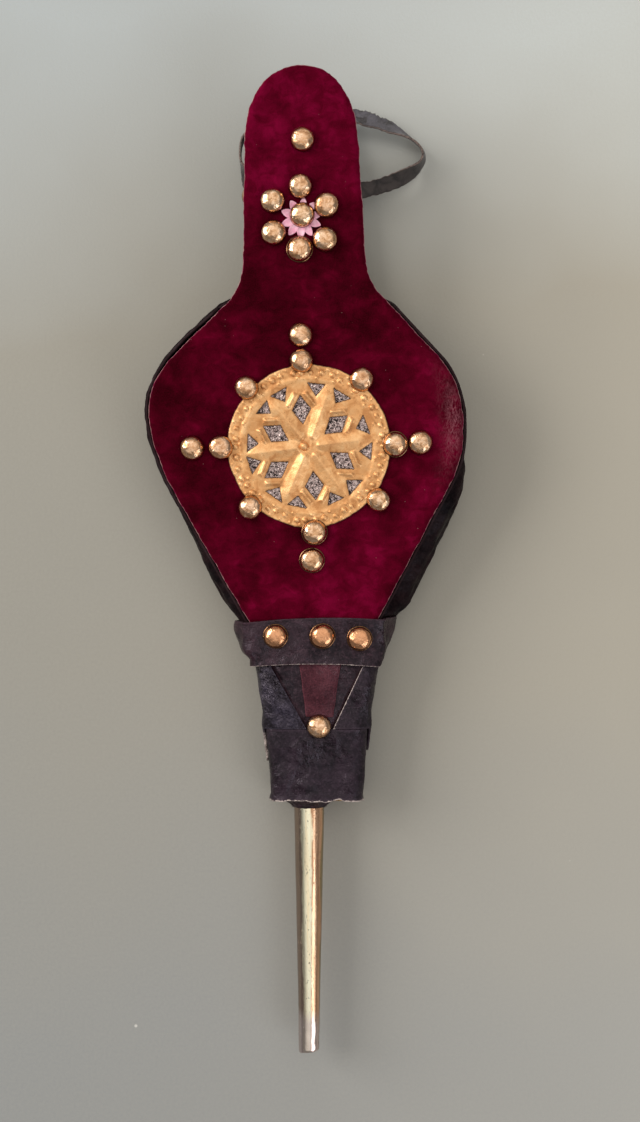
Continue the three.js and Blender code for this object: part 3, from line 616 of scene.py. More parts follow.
def leather_look(name, dark, light, grain=0.9, shine=(0.2, 0.7), depth=0.2, scuff_glints=0.6, specular=0.345):
    """Dyed leather, grained, with light spots that are partly scuffs and partly painted highlights on the grain,
    and pale where the attribute "cut" shows its raw edge.
    """
    look = Look(name, Specular_Tint=(0.98, 0.84, 1.0), Specular_IOR_Level=specular)
    pores = look.cells(grain, "SMOOTH_F1")
    shade = look.coat(dark, light, look.noise(11, 5, 0.62, 0.5), (0.38, 0), (0.64, 1))
    shade = look.coat(shade, scaled(dark, 0.4), pores, (0.1, 0.6), (0.4, 0))
    # Light spots, partly scuffs and partly painted highlights that stand for glints on the grain.
    scuff_glint_spots = look.noise(grain * 1.6, 6, 0.78, 0.5)
    shade = look.coat(shade, scaled(light, 2.6, 0.015), scuff_glint_spots, (0.5, 0), (0.68, scuff_glints))
    edge = look.plus(look.attribute("edge"), look.noise(1.3, 4, 0.7), 0.8)
    shade = look.coat(shade, scaled(light, 2.2, 0.01), edge, (0.5, 0.45), (0.95, 0))
    shade = look.coat(shade, RAW_LEATHER, edge, (0.42, 1), (0.6, 0), where=look.attribute("cut"))
    polish = look.mix(0.6, look.noise(4, 5, 0.65), look.noise(21, 3, 0.42, 0.2))
    bumps = look.bump(look.noise(14, 2, 0.45), depth * 22)
    bumps = look.bump(look.noise(3.5, 4, 0.55), depth * 2.4, bumps)
    bumps = look.bump(look.noise(grain * 0.5, 4, 0.7), depth * 0.5, look.bump(pores, depth, bumps))
    gloss = look.ramp(polish, (0.42, shine[1]), (0.57, shine[0]))
    return look.finish(Base_Color=shade, Roughness=gloss, Normal=bumps)


def suede_look():
    """The strap: grey violet suede on one face of the leather, dark brown grain on the other."""
    look = Look("strap_leather", Specular_IOR_Level=0.3, Sheen_Weight=0.25, Sheen_Roughness=0.5)
    nap = look.noise(0.7, 5, 0.75)
    mottle = look.noise(6, 4, 0.6, 0.5)
    suede = look.ramp(mottle, (0.4, (0.03, 0.025, 0.026)), (0.6, (0.115, 0.108, 0.128)))
    suede = look.coat(suede, (0.2, 0.19, 0.2), nap, (0.4, 0), (0.7, 0.4))
    grain = look.ramp(mottle, (0.4, (0.018, 0.014, 0.0135)), (0.6, (0.06, 0.048, 0.045)))
    shade = look.mix(look.attribute("suede"), grain, suede)
    edge = look.plus(look.attribute("edge"), nap, 0.7)
    shade = look.coat(shade, (0.02, 0.015, 0.014), edge, (0.5, 0.8), (0.9, 0))
    shade = look.coat(shade, (0.3, 0.22, 0.19), edge, (0.32, 0.8), (0.42, 0))
    bumps = look.bump(nap, 0.2, look.bump(mottle, 0.4))
    gloss = look.ramp(mottle, (0.3, 0.55), (0.7, 0.8))
    return look.finish(Base_Color=shade, Roughness=gloss, Normal=bumps)


def wood_look(name, dark, light, gloss=0.45):
    """Wood with its grain along y."""
    look = Look(name, Specular_IOR_Level=0.35)
    grain = look.noise(1.6, 6, 0.65, 0.4, look.stretched(1, 14, 1))
    rings = look.noise(11, 4, 0.6, 1.2, look.stretched(1, 9, 1))
    bands = look.maths("FRACT", look.maths("MULTIPLY", rings, 7))
    figure = look.mix(0.5, grain, look.ramp(bands, (0, 0.2), (0.75, 0.85), (1, 0.2)))
    pores = look.ramp(look.noise(0.5, 3, 0.6, 0, look.stretched(1, 22, 1)), (0.55, 0), (0.68, 1))
    shade = look.ramp(figure, (0.28, dark), (0.75, light))
    shade = look.mix(look.maths("MULTIPLY", pores, 0.6), shade, scaled(dark, 0.35))
    shade = look.coat(shade, scaled(light, 1.7), look.noise(7, 5, 0.7), (0.5, 0), (0.75, 0.5))
    bumps = look.bump(grain, 0.2, look.bump(pores, -0.15))
    gloss = look.ramp(figure, (0.3, gloss), (0.8, gloss + 0.25))
    return look.finish(Base_Color=shade, Roughness=gloss, Normal=bumps)


def nail_look():
    look = Look("nail_brass", Metallic=1.0)
    tarnish = look.noise(2.8, 5, 0.65, 0.6)
    shade = look.ramp(
        tarnish, (0.34, (0.3, 0.15, 0.07)), (0.45, (0.7, 0.42, 0.23)), (0.6, (1.0, 0.72, 0.5))
    )
    shade = look.mix(look.attribute("copper"), shade, (0.72, 0.34, 0.17))
    # Darker brown towards each head's foot: painted shade on the dome's lower part, broken up by the tarnish.
    foot = look.plus(look.attribute("edge"), tarnish, 0.3)
    shade = look.coat(shade, (0.17, 0.085, 0.04), foot, (0.3, 0.95), (0.68, 0))
    shade = look.coat(shade, (0.2, 0.11, 0.06), look.noise(0.45, 3, 0.7), (0.6, 0), (0.7, 0.8))
    bumps = look.bump(look.noise(2.7, 3, 0.5, 0.5), 0.34, look.bump(look.noise(0.7, 4, 0.6), 0.03))
    gloss = look.ramp(tarnish, (0.35, 0.34), (0.6, 0.14))
    return look.finish(Base_Color=shade, Roughness=gloss, Normal=bumps)


def medallion_look():
    look = Look("gold_brass", Metallic=0.6)
    patina = look.noise(4.5, 5, 0.6, 0.5)
    shade = look.ramp(
        patina, (0.35, (0.6, 0.27, 0.095)), (0.5, (0.82, 0.43, 0.175)), (0.68, (0.95, 0.57, 0.27))
    )
    height = look.attribute("relief")
    shade = look.coat(shade, (0.5, 0.22, 0.07), height, (0, 0.6), (0.2, 0))
    shade = look.coat(shade, (0.9, 0.56, 0.28), height, (0.6, 0), (1, 0.2))
    # Darker along the rim and the openings' cut edges.
    edge_darkening = look.plus(look.attribute("edge"), look.noise(0.8, 4, 0.7), 0.7)
    shade = look.coat(shade, (0.1, 0.045, 0.02), edge_darkening, (0.48, 0.95), (0.8, 0))
    shade = look.coat(shade, (0.16, 0.075, 0.025), look.noise(0.9, 4, 0.7), (0.635, 0), (0.69, 0.85))
    bumps = look.bump(look.noise(2.6, 4, 0.6), 0.22, look.bump(look.noise(0.6, 4, 0.6), 0.05))
    gloss = look.ramp(patina, (0.3, 0.52), (0.7, 0.36))
    return look.finish(Base_Color=shade, Roughness=gloss, Normal=bumps)


def foil_look():
    look = Look("foil", Metallic=0.7, Roughness=0.34)
    glitter = look.cells(0.6, output="Color")
    flakes = look.cells(1.1, "F1", "Color", look.stretched(1, 1.8, 1))
    shade = look.ramp(
        glitter, (0.1, (0.04, 0.025, 0.024)), (0.3, (0.3, 0.21, 0.2)), (0.8, (0.66, 0.53, 0.5))
    )
    shade = look.coat(shade, (0.015, 0.01, 0.01), look.noise(1.7, 4, 0.75, 1.4), (0.43, 1), (0.49, 0))
    bumps = look.bump(flakes, 0.6, look.bump(look.noise(1.9, 3, 0.6), 1))
    return look.finish(Base_Color=shade, Normal=bumps)


def tube_look():
    """Worn brass, with painted reflections in bands across it by the attribute "side", which runs from 0 to 1
    across the tube: a dark brown painted reflection on the left, gold in the middle, a copper band on the right
    that is partly tarnish and partly painted reflection, and a dark painted reflection at the right edge. "tip"
    runs towards its end.
    """
    look = Look("tube_brass", Metallic=1.0)
    streaks = look.noise(1.8, 4, 0.6, 0.3, look.stretched(1, 26, 1))
    patches = look.noise(7, 5, 0.65, 0.4, look.stretched(1, 3, 1))
    gold = look.ramp(streaks, (0.35, (1.0, 0.88, 0.62)), (0.6, (1.0, 0.98, 0.76)))
    copper = look.ramp(streaks, (0.35, (0.56, 0.3, 0.17)), (0.65, (0.88, 0.56, 0.36)))
    # The bands across the tube are painted reflections of the dark room at its sides; the copper band is partly
    # tarnish, partly painted reflection.
    lean = look.plus(look.maths("ADD", look.attribute("side"), -0.15), patches, 0.3)
    shade = look.coat(gold, copper, lean, (0.56, 0), (0.62, 1))
    shade = look.coat(shade, (0.3, 0.27, 0.14), lean, (0.9, 0), (0.96, 0.8))
    shade = look.coat(shade, (0.36, 0.27, 0.21), lean, (0.21, 1), (0.27, 0))
    bare = look.plus(look.attribute("tip"), patches, 0.4)
    shade = look.coat(shade, (0.72, 0.62, 0.6), bare, (0.75, 0), (1, 0.75))
    nicks = look.ramp(look.noise(0.9, 4, 0.7, 0.6, look.stretched(1, 2.4, 1)), (0.63, 0), (0.67, 1))
    shade = look.mix(look.maths("MULTIPLY", nicks, 0.85), shade, (0.1, 0.055, 0.03))
    bumps = look.bump(nicks, -0.1, look.bump(streaks, 0.03, look.bump(patches, 0.16)))
    gloss = look.ramp(patches, (0.35, 0.24), (0.65, 0.13))
    return look.finish(Base_Color=shade, Roughness=gloss, Normal=bumps)


def petal_look():
    look = Look("pink_cloth", Roughness=0.5, Sheen_Weight=0.3)
    shade = look.ramp(look.noise(3.5, 3, 0.6), (0.35, (0.86, 0.34, 0.5)), (0.62, (0.98, 0.62, 0.74)))
    shade = look.coat(shade, (0.8, 0.3, 0.44), look.attribute("edge"), (0.05, 0.6), (0.3, 0))
    return look.finish(Base_Color=shade, Normal=look.bump(look.noise(0.35, 3, 0.6), 0.1))


def table_look():
    """Grey green paint, with painted light on it: a little bluer and lighter towards the far end and lighter
    towards the right, as the room's light falls across the table.
    """
    look = Look("table_paint_and_light", Specular_IOR_Level=0.2)
    split = look.add("ShaderNodeSeparateXYZ", {"Vector": look.place})
    drift = look.maths("MULTIPLY_ADD", look.noise(180), 0.25, -0.125)
    far = look.maths("ADD", look.maths("MULTIPLY_ADD", split.outputs["Y"], 1.5, 0.5), drift)
    right = look.maths("ADD", look.maths("MULTIPLY_ADD", split.outputs["X"], 2, 0.5), drift)
    fine = look.noise(1.4, 4, 0.6)
    # Painted light: lighter and bluer towards the far end, darker at the near end, and lighter towards the right.
    shade = look.ramp(
        far, (0.05, (0.3, 0.3, 0.29)), (0.35, (0.335, 0.316, 0.275)),
        (0.6, (0.36, 0.338, 0.29)), (0.82, (0.48, 0.51, 0.51)),
    )
    side = look.ramp(right, (0.2, (0.94, 0.96, 0.98)), (0.5, (1, 1, 1)), (0.8, (1.22, 1.21, 1.18)))
    shade = look.mix(1.0, shade, side, "MULTIPLY")
    shade = look.coat(shade, (0.47, 0.455, 0.4), fine, (0.3, 0), (0.7, 0.14))
    shade = look.coat(shade, (0.75, 0.73, 0.68), look.cells(42), (0.016, 0.6), (0.02, 0))
    gloss = look.ramp(fine, (0.3, 0.7), (0.7, 0.85))
    return look.finish(Base_Color=shade, Roughness=gloss, Normal=look.bump(fine, 0.1))


DARK_WOOD = wood_look("dark_wood", (0.016, 0.01, 0.007), (0.055, 0.034, 0.022))
PALE_WOOD = wood_look("pale_wood", (0.22, 0.13, 0.065), (0.42, 0.28, 0.15), 0.6)
VELVET = velvet_look()
DARK_LEATHER = leather_look(
    "dark_leather", (0.003, 0.001, 0.0017), (0.026, 0.011, 0.016), shine=(0.22, 0.74)
)
BAND_LEATHER = leather_look("band_leather", (0.002, 0.0009, 0.0017), (0.0165, 0.0085, 0.0145))
# The left flap's leather: pebbled grain, and lighter and bluer than the band's leather, a painted highlight on the
# flap that faces the window.
PEBBLED_LIT_LEATHER = leather_look(
    "pebbled_lit_leather", (0.002, 0.0013, 0.0025), (0.022, 0.018, 0.03),
    grain=1.15, shine=(0.15, 0.6), depth=0.5, scuff_glints=0.55, specular=0.414,
)
GUSSET_LEATHER = leather_look(
    "gusset_leather", (0.0012, 0.0005, 0.0006), (0.0125, 0.0045, 0.005),
    shine=(0.4, 0.92), scuff_glints=0.25, specular=0.138,
)
WINE_LEATHER = leather_look(
    "wine_leather", (0.038, 0.0065, 0.0105), (0.08, 0.018, 0.026),
    grain=0.8, shine=(0.3, 0.8), depth=0.26, scuff_glints=0.3, specular=0.276,
)
VALVE_LEATHER = leather_look(
    "valve_leather", (0.13, 0.07, 0.035), (0.2, 0.12, 0.065),
    grain=1, shine=(0.6, 1.1), scuff_glints=0.2, specular=0.276,
)
STRAP_LEATHER = suede_look()
NAIL_BRASS = nail_look()
GOLD_BRASS = medallion_look()
TUBE_BRASS = tube_look()
FOIL = foil_look()
PINK_CLOTH = petal_look()


def paint(piece, name, values):
    """Stores a number for each point of a piece, for its material to read."""
    values = np.broadcast_to(np.asarray(values, np.float32), len(piece.data.vertices))
    piece.data.attributes.new(name, "FLOAT", "POINT").data.foreach_set("value", values.copy())


def paint_sheet(piece, name, values, grid):
    """The same for a sheet, from a number for each point of its grid."""
    paint(piece, name, np.tile(np.broadcast_to(values, grid.shape[:2]).ravel(), 2))


# ---- hanging strap


def strap_sides(count):
    """The strap's middle line, the way across it and the way through it."""
    line = spline(STRAP_ROUTE, count)
    middle, stand = line[:, :3], np.clip(line[:, 3], 0, 1) * math.pi / 2
    way = np.gradient(middle, axis=0)
    side = np.cross(way, (0, 0, 1))
    side /= np.linalg.norm(side, axis=1, keepdims=True)
    up = np.array([0, 0, 1.0])
    across = side * np.cos(stand)[:, None] + up * np.sin(stand)[:, None]
    through = up * np.cos(stand)[:, None] - side * np.sin(stand)[:, None]
    return middle, across, through


def make_strap():
    middle, across, through = strap_sides(620)
    share = np.linspace(-1, 1, 13)
    at = lengths(middle)[:, None]
    fray = 0.25 * rough(at, 0.9, 3) + 0.3 * rough(at, 6, 4)
    ragged = (0.5 * rough(at, 0.6, 5))[:, None] * smooth(at, 60, 75) * (1 - smooth(at, 105, 115))
    half = (STRAP_WIDTH / 2 - 0.35 + fray)[:, None]
    reach = share * half + np.minimum(share, 0) ** 2 * ragged
    cup = 0.35 * (share**2 - 0.4) + 0.25 * rough(np.stack(np.broadcast_arrays(at / 9, share), -1), 1)
    grid = middle[:, None] + across[:, None] * reach[..., None] + through[:, None] * cup[..., None]
    strap = build("strap_thong", "strap", "back", STRAP_LEATHER, sheet(grid, STRAP_THICK))
    paint_sheet(strap, "suede", smooth(at, 45, 60) * (1 - smooth(at, 112, 126)), grid)


make_strap()

# ---- boards


def make_boards():
    tool_marks = lambda p, seed: 0.12 * rough(p, 9, seed) + 0.05 * rough(p, 2.5, seed + 1)
    underside = lambda p, away: tool_marks(p, 11) - FRONT_THICK
    front = plate([board_outline()], 6, level(0), underside, bevel=0.9)
    build("front_plank", "front_board", "front", DARK_WOOD, front, sharp=40, matrix=ON_FRONT)
    hole = INLET + INLET_RADIUS * circle(72)
    hole += 0.15 * np.stack([rough(hole, 4, 21), rough(hole, 4, 22)], 1)
    outline = np.concatenate([board_outline(BACK_MARGIN), LAP])
    inner = lambda p, away: tool_marks(p, 13) + BACK_THICK
    back = plate([outline, hole], 6, inner, level(0), bevel=0.9)
    build("back_plank", "back_board", "back", DARK_WOOD, back, sharp=40, matrix=ON_BACK)


make_boards()

# ---- nails


def nail_places():
    """Each CAD nail's name, body, frame and seat: its middle and the height of its head's underside."""
    for body, matrix in (("back", WORLD), ("front", ON_FRONT)):
        for name in frame["record"]["behaviour"]["bodies"][body]:
            if "_nail" not in name:
                continue
            node = np.array([v.co for v in frame["nodes"][name].data.vertices]) / MM
            local = (node - matrix[:3, 3]) @ matrix[:3, :3]
            seat = local[:, 2].max() - NAIL_HEIGHT
            yield name, body, matrix, (*(local[:, :2].max(0) + local[:, :2].min(0)) / 2, seat)


NAILS = list(nail_places())


def nail_part(rng, collar):
    """A domed head, dented by the hammer, on its shank."""
    radius = NAIL_RADIUS * rng.uniform(0.96, 1.0)
    height = NAIL_HEIGHT * rng.uniform(0.93, 1.0)
    flat = rng.uniform(0.0, 0.35)
    turn = np.linspace(0, math.pi / 2, 20)
    dome = [(radius * math.cos(t) ** 0.86, 0.35 + (height - 0.35) * math.sin(t) ** 0.95) for t in turn]
    lip = radius + (0.35 if collar else 0.08)
    # From the shank's point along the head's underside, round its lip and over the dome.
    profile = [(0, -5.2), (0.6, -4), (0.6, 0.05), (radius - 0.9, 0.05), (lip - 0.12, -0.05)]
    profile += [(lip, 0.08), (lip, 0.26), (lip - 0.1, 0.38)]
    profile += [*[(r, h) for r, h in dome[:-1] if r < lip - 0.12], (0, dome[-1][1])]
    lean = rng.uniform(-1, 1, 2)
    seed = int(rng.integers(1000))

    def dent(grid, angle):
        x, y, z = np.moveaxis(grid, -1, 0)
        up = smooth(z, 0.4, 3)
        spot = hill(np.hypot(x - lean[0], y - lean[1]), 2.6)
        z = z - up * spot * flat
        z = z + up * (0.09 * rough(grid, 1.5, seed) + 0.05 * rough(grid, 0.7, seed + 1))
        swell = 1 + 0.012 * np.cos(2 * angle + seed)[None] + 0.006 * np.cos(5 * angle)[None]
        return np.stack([x * swell, y * swell, z], -1)

    points, faces, _ = lathe(profile, 56, dent)
    return points, faces, np.clip(points[:, 2] / height, 0, 1)


def make_nails():
    rng = np.random.default_rng(7)
    for name, body, matrix, seat in NAILS:
        collar = name.startswith("hinge") or rng.random() < 0.3
        points, faces, rise = nail_part(rng, collar)
        lean_x, lean_y = rng.normal(0, 0.035, 2)
        tilt = Matrix.Rotation(lean_x, 4, "X") @ Matrix.Rotation(lean_y, 4, "Y")
        points = carried(points, np.array(Matrix.Translation(seat) @ tilt))
        nail = build(name + "_head", name, body, NAIL_BRASS, (points, faces, rise), matrix=matrix)
        paint(nail, "copper", 0.9 if name.startswith("hinge") else rng.uniform(0, 0.35))


make_nails()

# ---- velvet


def make_velvet():
    ring = board_outline(0.35)
    ring = ring[ring[:, 1] > 0.5]
    fray = 0.28 * rough(ring, 5, 31) + 0.14 * rough(ring, 1.2, 32)
    ring = ring + normals_of(ring, closed=True) * fray[:, None]
    ring[:, 1] = np.maximum(ring[:, 1], 1)
    seats = np.array([seat[:2] for _, body, _, seat in NAILS if body == "front"])

    def top(p, away):
        roll = 1.2 * (1 - np.sqrt(np.clip(1 - (1 - np.clip(away / 3.4, 0, 1)) ** 2, 0, 1)))
        near = np.linalg.norm(p[:, None] - seats, axis=2).min(axis=1)
        press = 0.45 * hill(np.maximum(0, near - NAIL_RADIUS), 1.6)
        wave = 0.16 * rough(p, 22, 33) + 0.1 * rough(p, 7, 34) + 0.05 * rough(p, 2.4, 35)
        return VELVET_TOP + 0.12 - roll + np.minimum(wave, 0.12) * smooth(away, 0.5, 5) - press

    part = plate([ring], 1.15, top, level(-0.1))
    velvet = build("velvet_cloth", "velvet_cover", "front", VELVET, part, matrix=ON_FRONT)
    p = part[0][:, :2]
    x, y = p.T
    right_edge = 66 - 0.009 * (y - 102) ** 2
    paint(velvet, "worn", 0.8 * hill(x - right_edge, 4.5) * hill(y - 103, 17))
    # The velvet is painted lighter at the handle's end, by the hinge leather and right of the medallion, darker at
    # the neck and on the left, and patchy all over.
    tone_by_place = 0.8 * smooth(y, 190, 215) - 0.7 * hill(y - 168, 24)
    tone_by_place += 0.8 * hill(x - 12, 28) * hill(y - 32, 22) + 0.6 * hill(x - 52, 14) * hill(y - 88, 34)
    tone_by_place -= 0.7 * hill(x + 56, 20) * hill(y - 100, 50)
    tone_by_place += 0.5 * rough(p, 9, 36) + 0.35 * rough(p, 4.5, 37)
    paint(velvet, "tone_by_place", tone_by_place)


make_velvet()

# ---- medallion, foil and flower

# Each sector between two of the six arms: its angle, its rhombus's distance from the centre, and the
# rhombus's turn.
SECTORS = [
    (37.2, 15.6, 0.4), (100.1, 16.9, -5.8), (157.4, 16.1, -8.9),
    (214.5, 18.2, -1.5), (276.4, 18, -1.8), (335.2, 16.4, -11),
]
RHOMBUS = (6.4, 4.15)  # half its length and half its width
TRIANGLE_SPREAD = 18.7  # from the sector's middle, in degrees
TRIANGLE_POINT = 23  # from the centre
TRIANGLE_BASE = 28.4  # from the centre
TRIANGLE_HALF = 8.4  # half the base, in degrees
BAR_PLACE = 2.5  # from the rhombus's side
BEADS = 46
BEAD_RING = 33.4
DOT_RINGS = (31.2, 35.4)
BOSS = (-2.1, 0.1)  # the middle's round boss, a little off the centre


ON_MEDALLION = ON_FRONT @ np.array(Matrix.Translation((*MEDALLION_CENTRE, 0)))


def polar(radius, degrees):
    angle = math.radians(degrees)
    return radius * np.array([math.cos(angle), math.sin(angle)])


def across(way):
    return np.array([-way[1], way[0]])


def torn(corners, rng):
    """A cut opening's edge: straight between its corners, a little ragged."""
    ring = evenly(np.concatenate([corners, corners[:1]]), 0.4)[:-1]
    return ring + rng.normal(0, 0.045, ring.shape)


def openings(rng):
    """The medallion's openings, and the short bars that are pressed beside each rhombus."""
    rings, bars = [], []
    for angle, distance, turn in SECTORS:
        middle = polar(distance, angle)
        ahead, beside = polar(RHOMBUS[0], angle + turn), polar(RHOMBUS[1], angle + turn + 90)
        corners = [middle - ahead, middle - beside, middle + ahead, middle + beside]
        rings.append(torn(np.array(corners), rng))
        for side in (-1, 1):
            edge = (middle + ahead + middle + side * beside) / 2
            way = ahead - side * beside
            way /= np.linalg.norm(way)
            bars.append((edge + side * across(way) * BAR_PLACE, way))
            heading = angle + side * TRIANGLE_SPREAD + rng.uniform(-1, 1)
            half = TRIANGLE_HALF + rng.uniform(-0.6, 0.6)
            base = TRIANGLE_BASE + rng.uniform(-0.4, 0.5)
            point = polar(TRIANGLE_POINT, heading + rng.uniform(-1.5, 1.5))
            corners = [point, polar(base, heading + half)]
            corners.append(polar(base, heading - half))
            rings.append(torn(np.array(corners)[::-1], rng))
    return rings, bars


def box_hill(p, middle, way, half_length, half_width, slope):
    """1 on a raised bar, falling to 0 at its sides."""
    off = p - middle
    u = np.abs(off @ way) - half_length
    v = np.abs(off @ across(way)) - half_width
    return 1 - smooth(np.maximum(u, v), -slope, slope)


def make_medallion():
    rng = np.random.default_rng(3)
    holes, bars = openings(rng)
    edge = circle(400) * MEDALLION_RADIUS
    reach = MEDALLION_RADIUS - 0.15 + 0.35 * rough(edge, 7, 41) + 0.12 * rough(edge, 1.5, 42)
    rim = circle(400) * reach[:, None]
    angles = [angle for angle, _, _ in SECTORS]
    arm_angles = [(a + b) / 2 for a, b in zip(angles, angles[1:] + [angles[0] + 360])]
    wander = lambda most: rng.uniform(-most, most)
    turn = 360 / BEADS
    beads = [
        (polar(BEAD_RING + wander(0.5), i * turn + wander(1.2)), rng.uniform(0.75, 1.1))
        for i in range(BEADS)
    ]
    beads += [(polar(DOT_RINGS[1], (i + 0.5) * turn), 0.45) for i in range(BEADS)]
    beads += [(polar(DOT_RINGS[0], (i + 0.5) * turn + wander(2)), 0.5) for i in range(0, BEADS, 2)]

    def relief(p):
        """The height of the arms, bars, boss, beads and the rim's two pressed lines."""
        r = np.hypot(p[:, 0], p[:, 1])
        height = np.zeros(len(p))
        for angle in arm_angles:
            way = polar(1, angle)
            out, side = p @ way, p @ across(way)
            half = np.interp(out, [0, 4, 24, 30], [2.2, 3.0, 5.2, 5.6])
            roof = np.clip(1 - np.abs(side) / half, 0, 1)
            ends = smooth(out, 2, 5) * (1 - smooth(out, 22, 30.5))
            height = np.maximum(height, 1.4 * roof * ends)
        height = np.maximum(height, 0.7 * hill(r, 4.5))
        for middle, way in bars:
            height = np.maximum(height, 1.1 * box_hill(p, middle, way, 3.4, 0.75, 0.8))
        boss = np.hypot(p[:, 0] - BOSS[0], p[:, 1] - BOSS[1])
        height = mix(0.2, height, smooth(boss, 1.6, 3.4))
        height = np.maximum(height, 2 * np.sqrt(np.clip(1 - (boss / 1.9) ** 2, 0, 1)))
        for middle, size in beads:
            bead = np.clip(1 - (np.linalg.norm(p - middle, axis=1) / (size * 1.4)) ** 2, 0, 1)
            height = np.maximum(height, 1.15 * size * np.sqrt(bead))
        return height + 0.35 * hill(r - 30.6, 1.1) + 0.25 * hill(r - 36.4, 0.7)

    def top(p, away):
        bent = 0.14 * rough(p, 9, 43) + 0.07 * rough(p, 3, 44)
        return MEDALLION_LOW + 0.55 + relief(p) + bent - 0.25 * hill(away, 0.5)

    part = plate([rim, *holes], 0.5, top, level(MEDALLION_LOW))
    plaque = build(
        "medallion_plate", "medallion", "front", GOLD_BRASS, part, sharp=50, matrix=ON_MEDALLION
    )
    paint(plaque, "relief", np.clip((part[0][:, 2] - MEDALLION_LOW - 0.4) / 1.4, 0, 1))


def make_foil():
    crinkle = lambda p, d: FOIL_LOW + 0.2 + 0.16 * np.abs(rough(p, 1.7, 51)) + 0.1 * rough(p, 0.9, 52)
    part = plate([FOIL_RADIUS * circle(120)], 0.75, crinkle, level(FOIL_LOW - 0.1))
    build("foil_disc", "medallion_foil", "front", FOIL, part, matrix=ON_MEDALLION)


def petal(angle, length, width, lift, twist):
    """One pointed petal, cupped along its middle."""
    at = edged(15, length)[:, None]
    share = np.linspace(-1, 1, 9)
    half = width * np.maximum(0, np.sin(at**1.35 * math.pi)) ** 0.75 + 0.15
    y = share * half / 2
    z = 0.5 * np.abs(share) ** 1.5 * half / width + lift * at**2 + twist * y * at
    points, faces, edge = sheet(np.stack(np.broadcast_arrays(at * length, y, z), -1), PETAL_THICK)
    seat = Matrix.Translation((*FLOWER_CENTRE, FOIL_LOW + 0.15)) @ Matrix.Rotation(angle, 4, "Z")
    return carried(points, np.array(seat)), faces, edge


def make_flower():
    rng = np.random.default_rng(12)
    parts = [
        petal(
            angle=math.radians(13 + i * 360 / PETALS + rng.uniform(-4, 4)),
            length=rng.uniform(8.8, 9.5),
            width=rng.uniform(3.2, 3.7),
            lift=rng.uniform(0.1, 0.6),
            twist=rng.uniform(-0.15, 0.15),
        )
        for i in range(PETALS)
    ]
    build("flower_petals", "flower", "front", PINK_CLOTH, *parts, matrix=ON_FRONT)


make_medallion()
make_foil()
make_flower()

# ---- gusset


def gusset_path(side, folds):
    """Where the leather runs on one side, drawn on the right: points, outward ways, 1 where it lies on
    the board's edge and 0 where it crosses under the handle's root, and the fold's reach."""
    edge = side_path(side, 1.6)
    edge = edge[(edge[:, 1] > 1.5) & (edge[:, 1] < 157)]
    cross = spline([edge[-1], (30, 160.5), (22, 162), (10, 162.5), (0, 162.6)], 30)[1:]
    path = np.concatenate([edge, cross])
    on_edge = np.concatenate([1 - smooth(edge[:, 1], 153.5, 156.5), np.zeros(len(cross))])
    return path, normals_of(path), on_edge, along(folds, path[:, 1])


def gusset_part():
    right, left = gusset_path(RIGHT_SIDE, RIGHT_FOLD), gusset_path(LEFT_SIDE, LEFT_FOLD)
    path, way, on_edge, fold = (
        np.concatenate([r, (l * (-1, 1) if l.ndim > 1 else l)[::-1][1:]]) for r, l in zip(right, left)
    )
    roll = np.maximum(fold * 0.7, np.where(path[:, 0] > 0, 1.6, 2.4))
    at = lengths(path)
    shoulder = 1.3 * hill(path[:, 1] - 143, 9) * (path[:, 0] < -35)  # it bulges at the left shoulder
    wave = lambda size, seed, reach: reach * rough(at[:, None], size, seed)
    loose = np.where(path[:, 0] > 0, 1, 0.4) * smooth(path[:, 1], 4, 20)
    fold = fold + loose * (wave(13, 61, 0.9) + wave(5, 62, 0.4))
    roll = roll + loose * wave(9, 63, 0.5)
    low_z = mix(BACK_THICK, 1.0, on_edge)
    high_z = mix(-FRONT_THICK, -0.75, on_edge) + 0.2 * rough(at[:, None], 4, 64) * on_edge
    sloping = mix(roll, fold, 0.55)

    def place(share, reach, back_z=BACK_THICK, front_z=-FRONT_THICK):
        """One line of the leather, a share of the way from the back board's edge to the front's."""
        p = path + way * np.reshape(reach, (-1, 1))
        on = lambda z, board: carried(np.column_stack([p, np.broadcast_to(z, len(p))]), board)
        return mix(on(back_z, ON_BACK), on(front_z, ON_FRONT), share)

    columns = [
        place(0, RIM, back_z=low_z), place(0, RIM, back_z=mix(low_z, BACK_THICK, 0.6)),
        place(0.05, RIM), place(0.16, roll), place(0.33, sloping), place(0.5, fold),
        place(0.67, sloping), place(0.84, roll + shoulder), place(0.95, RIM + shoulder),
        place(1, RIM + shoulder, front_z=mix(high_z, -FRONT_THICK, 0.6)),
        place(1, RIM + shoulder * 0.8, front_z=high_z),
    ]
    grid = net(np.stack(columns, 1), len(path) * 2, 56)
    normal = grid_normals(grid)
    depth = np.linspace(0, 1, grid.shape[1])
    middle = (smooth(depth, 0.1, 0.25) * (1 - smooth(depth, 0.78, 0.9)))[None]
    creases = 0.35 * rough(grid / (1, 1, 0.45), 5, 65) + 0.16 * rough(grid, 1.8, 66)
    return sheet(grid + normal * (creases * middle)[..., None], LEATHER)


def make_gusset():
    piece = build("gusset_leather", "gusset", None, GUSSET_LEATHER, gusset_part())
    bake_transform(piece)


make_gusset()

# ---- hinge leather


def board_half(y):
    return mix(NOSE_HALF, RIGHT_SIDE["lower"][0], max(0, y - 13) / (RIGHT_SIDE["lower"][1] - 13))


HINGE_ROWS = [  # y, and how far the left and right ears stand out
    (14.2, 35.6, 37.6),
    (11, 35.8, 37),
    (5, 34.3, 35.2),
    (0.2, 32.2, 32.8),
    (-4, 29.4, 31),
    (-7.4, 28.6, 30.4),
]


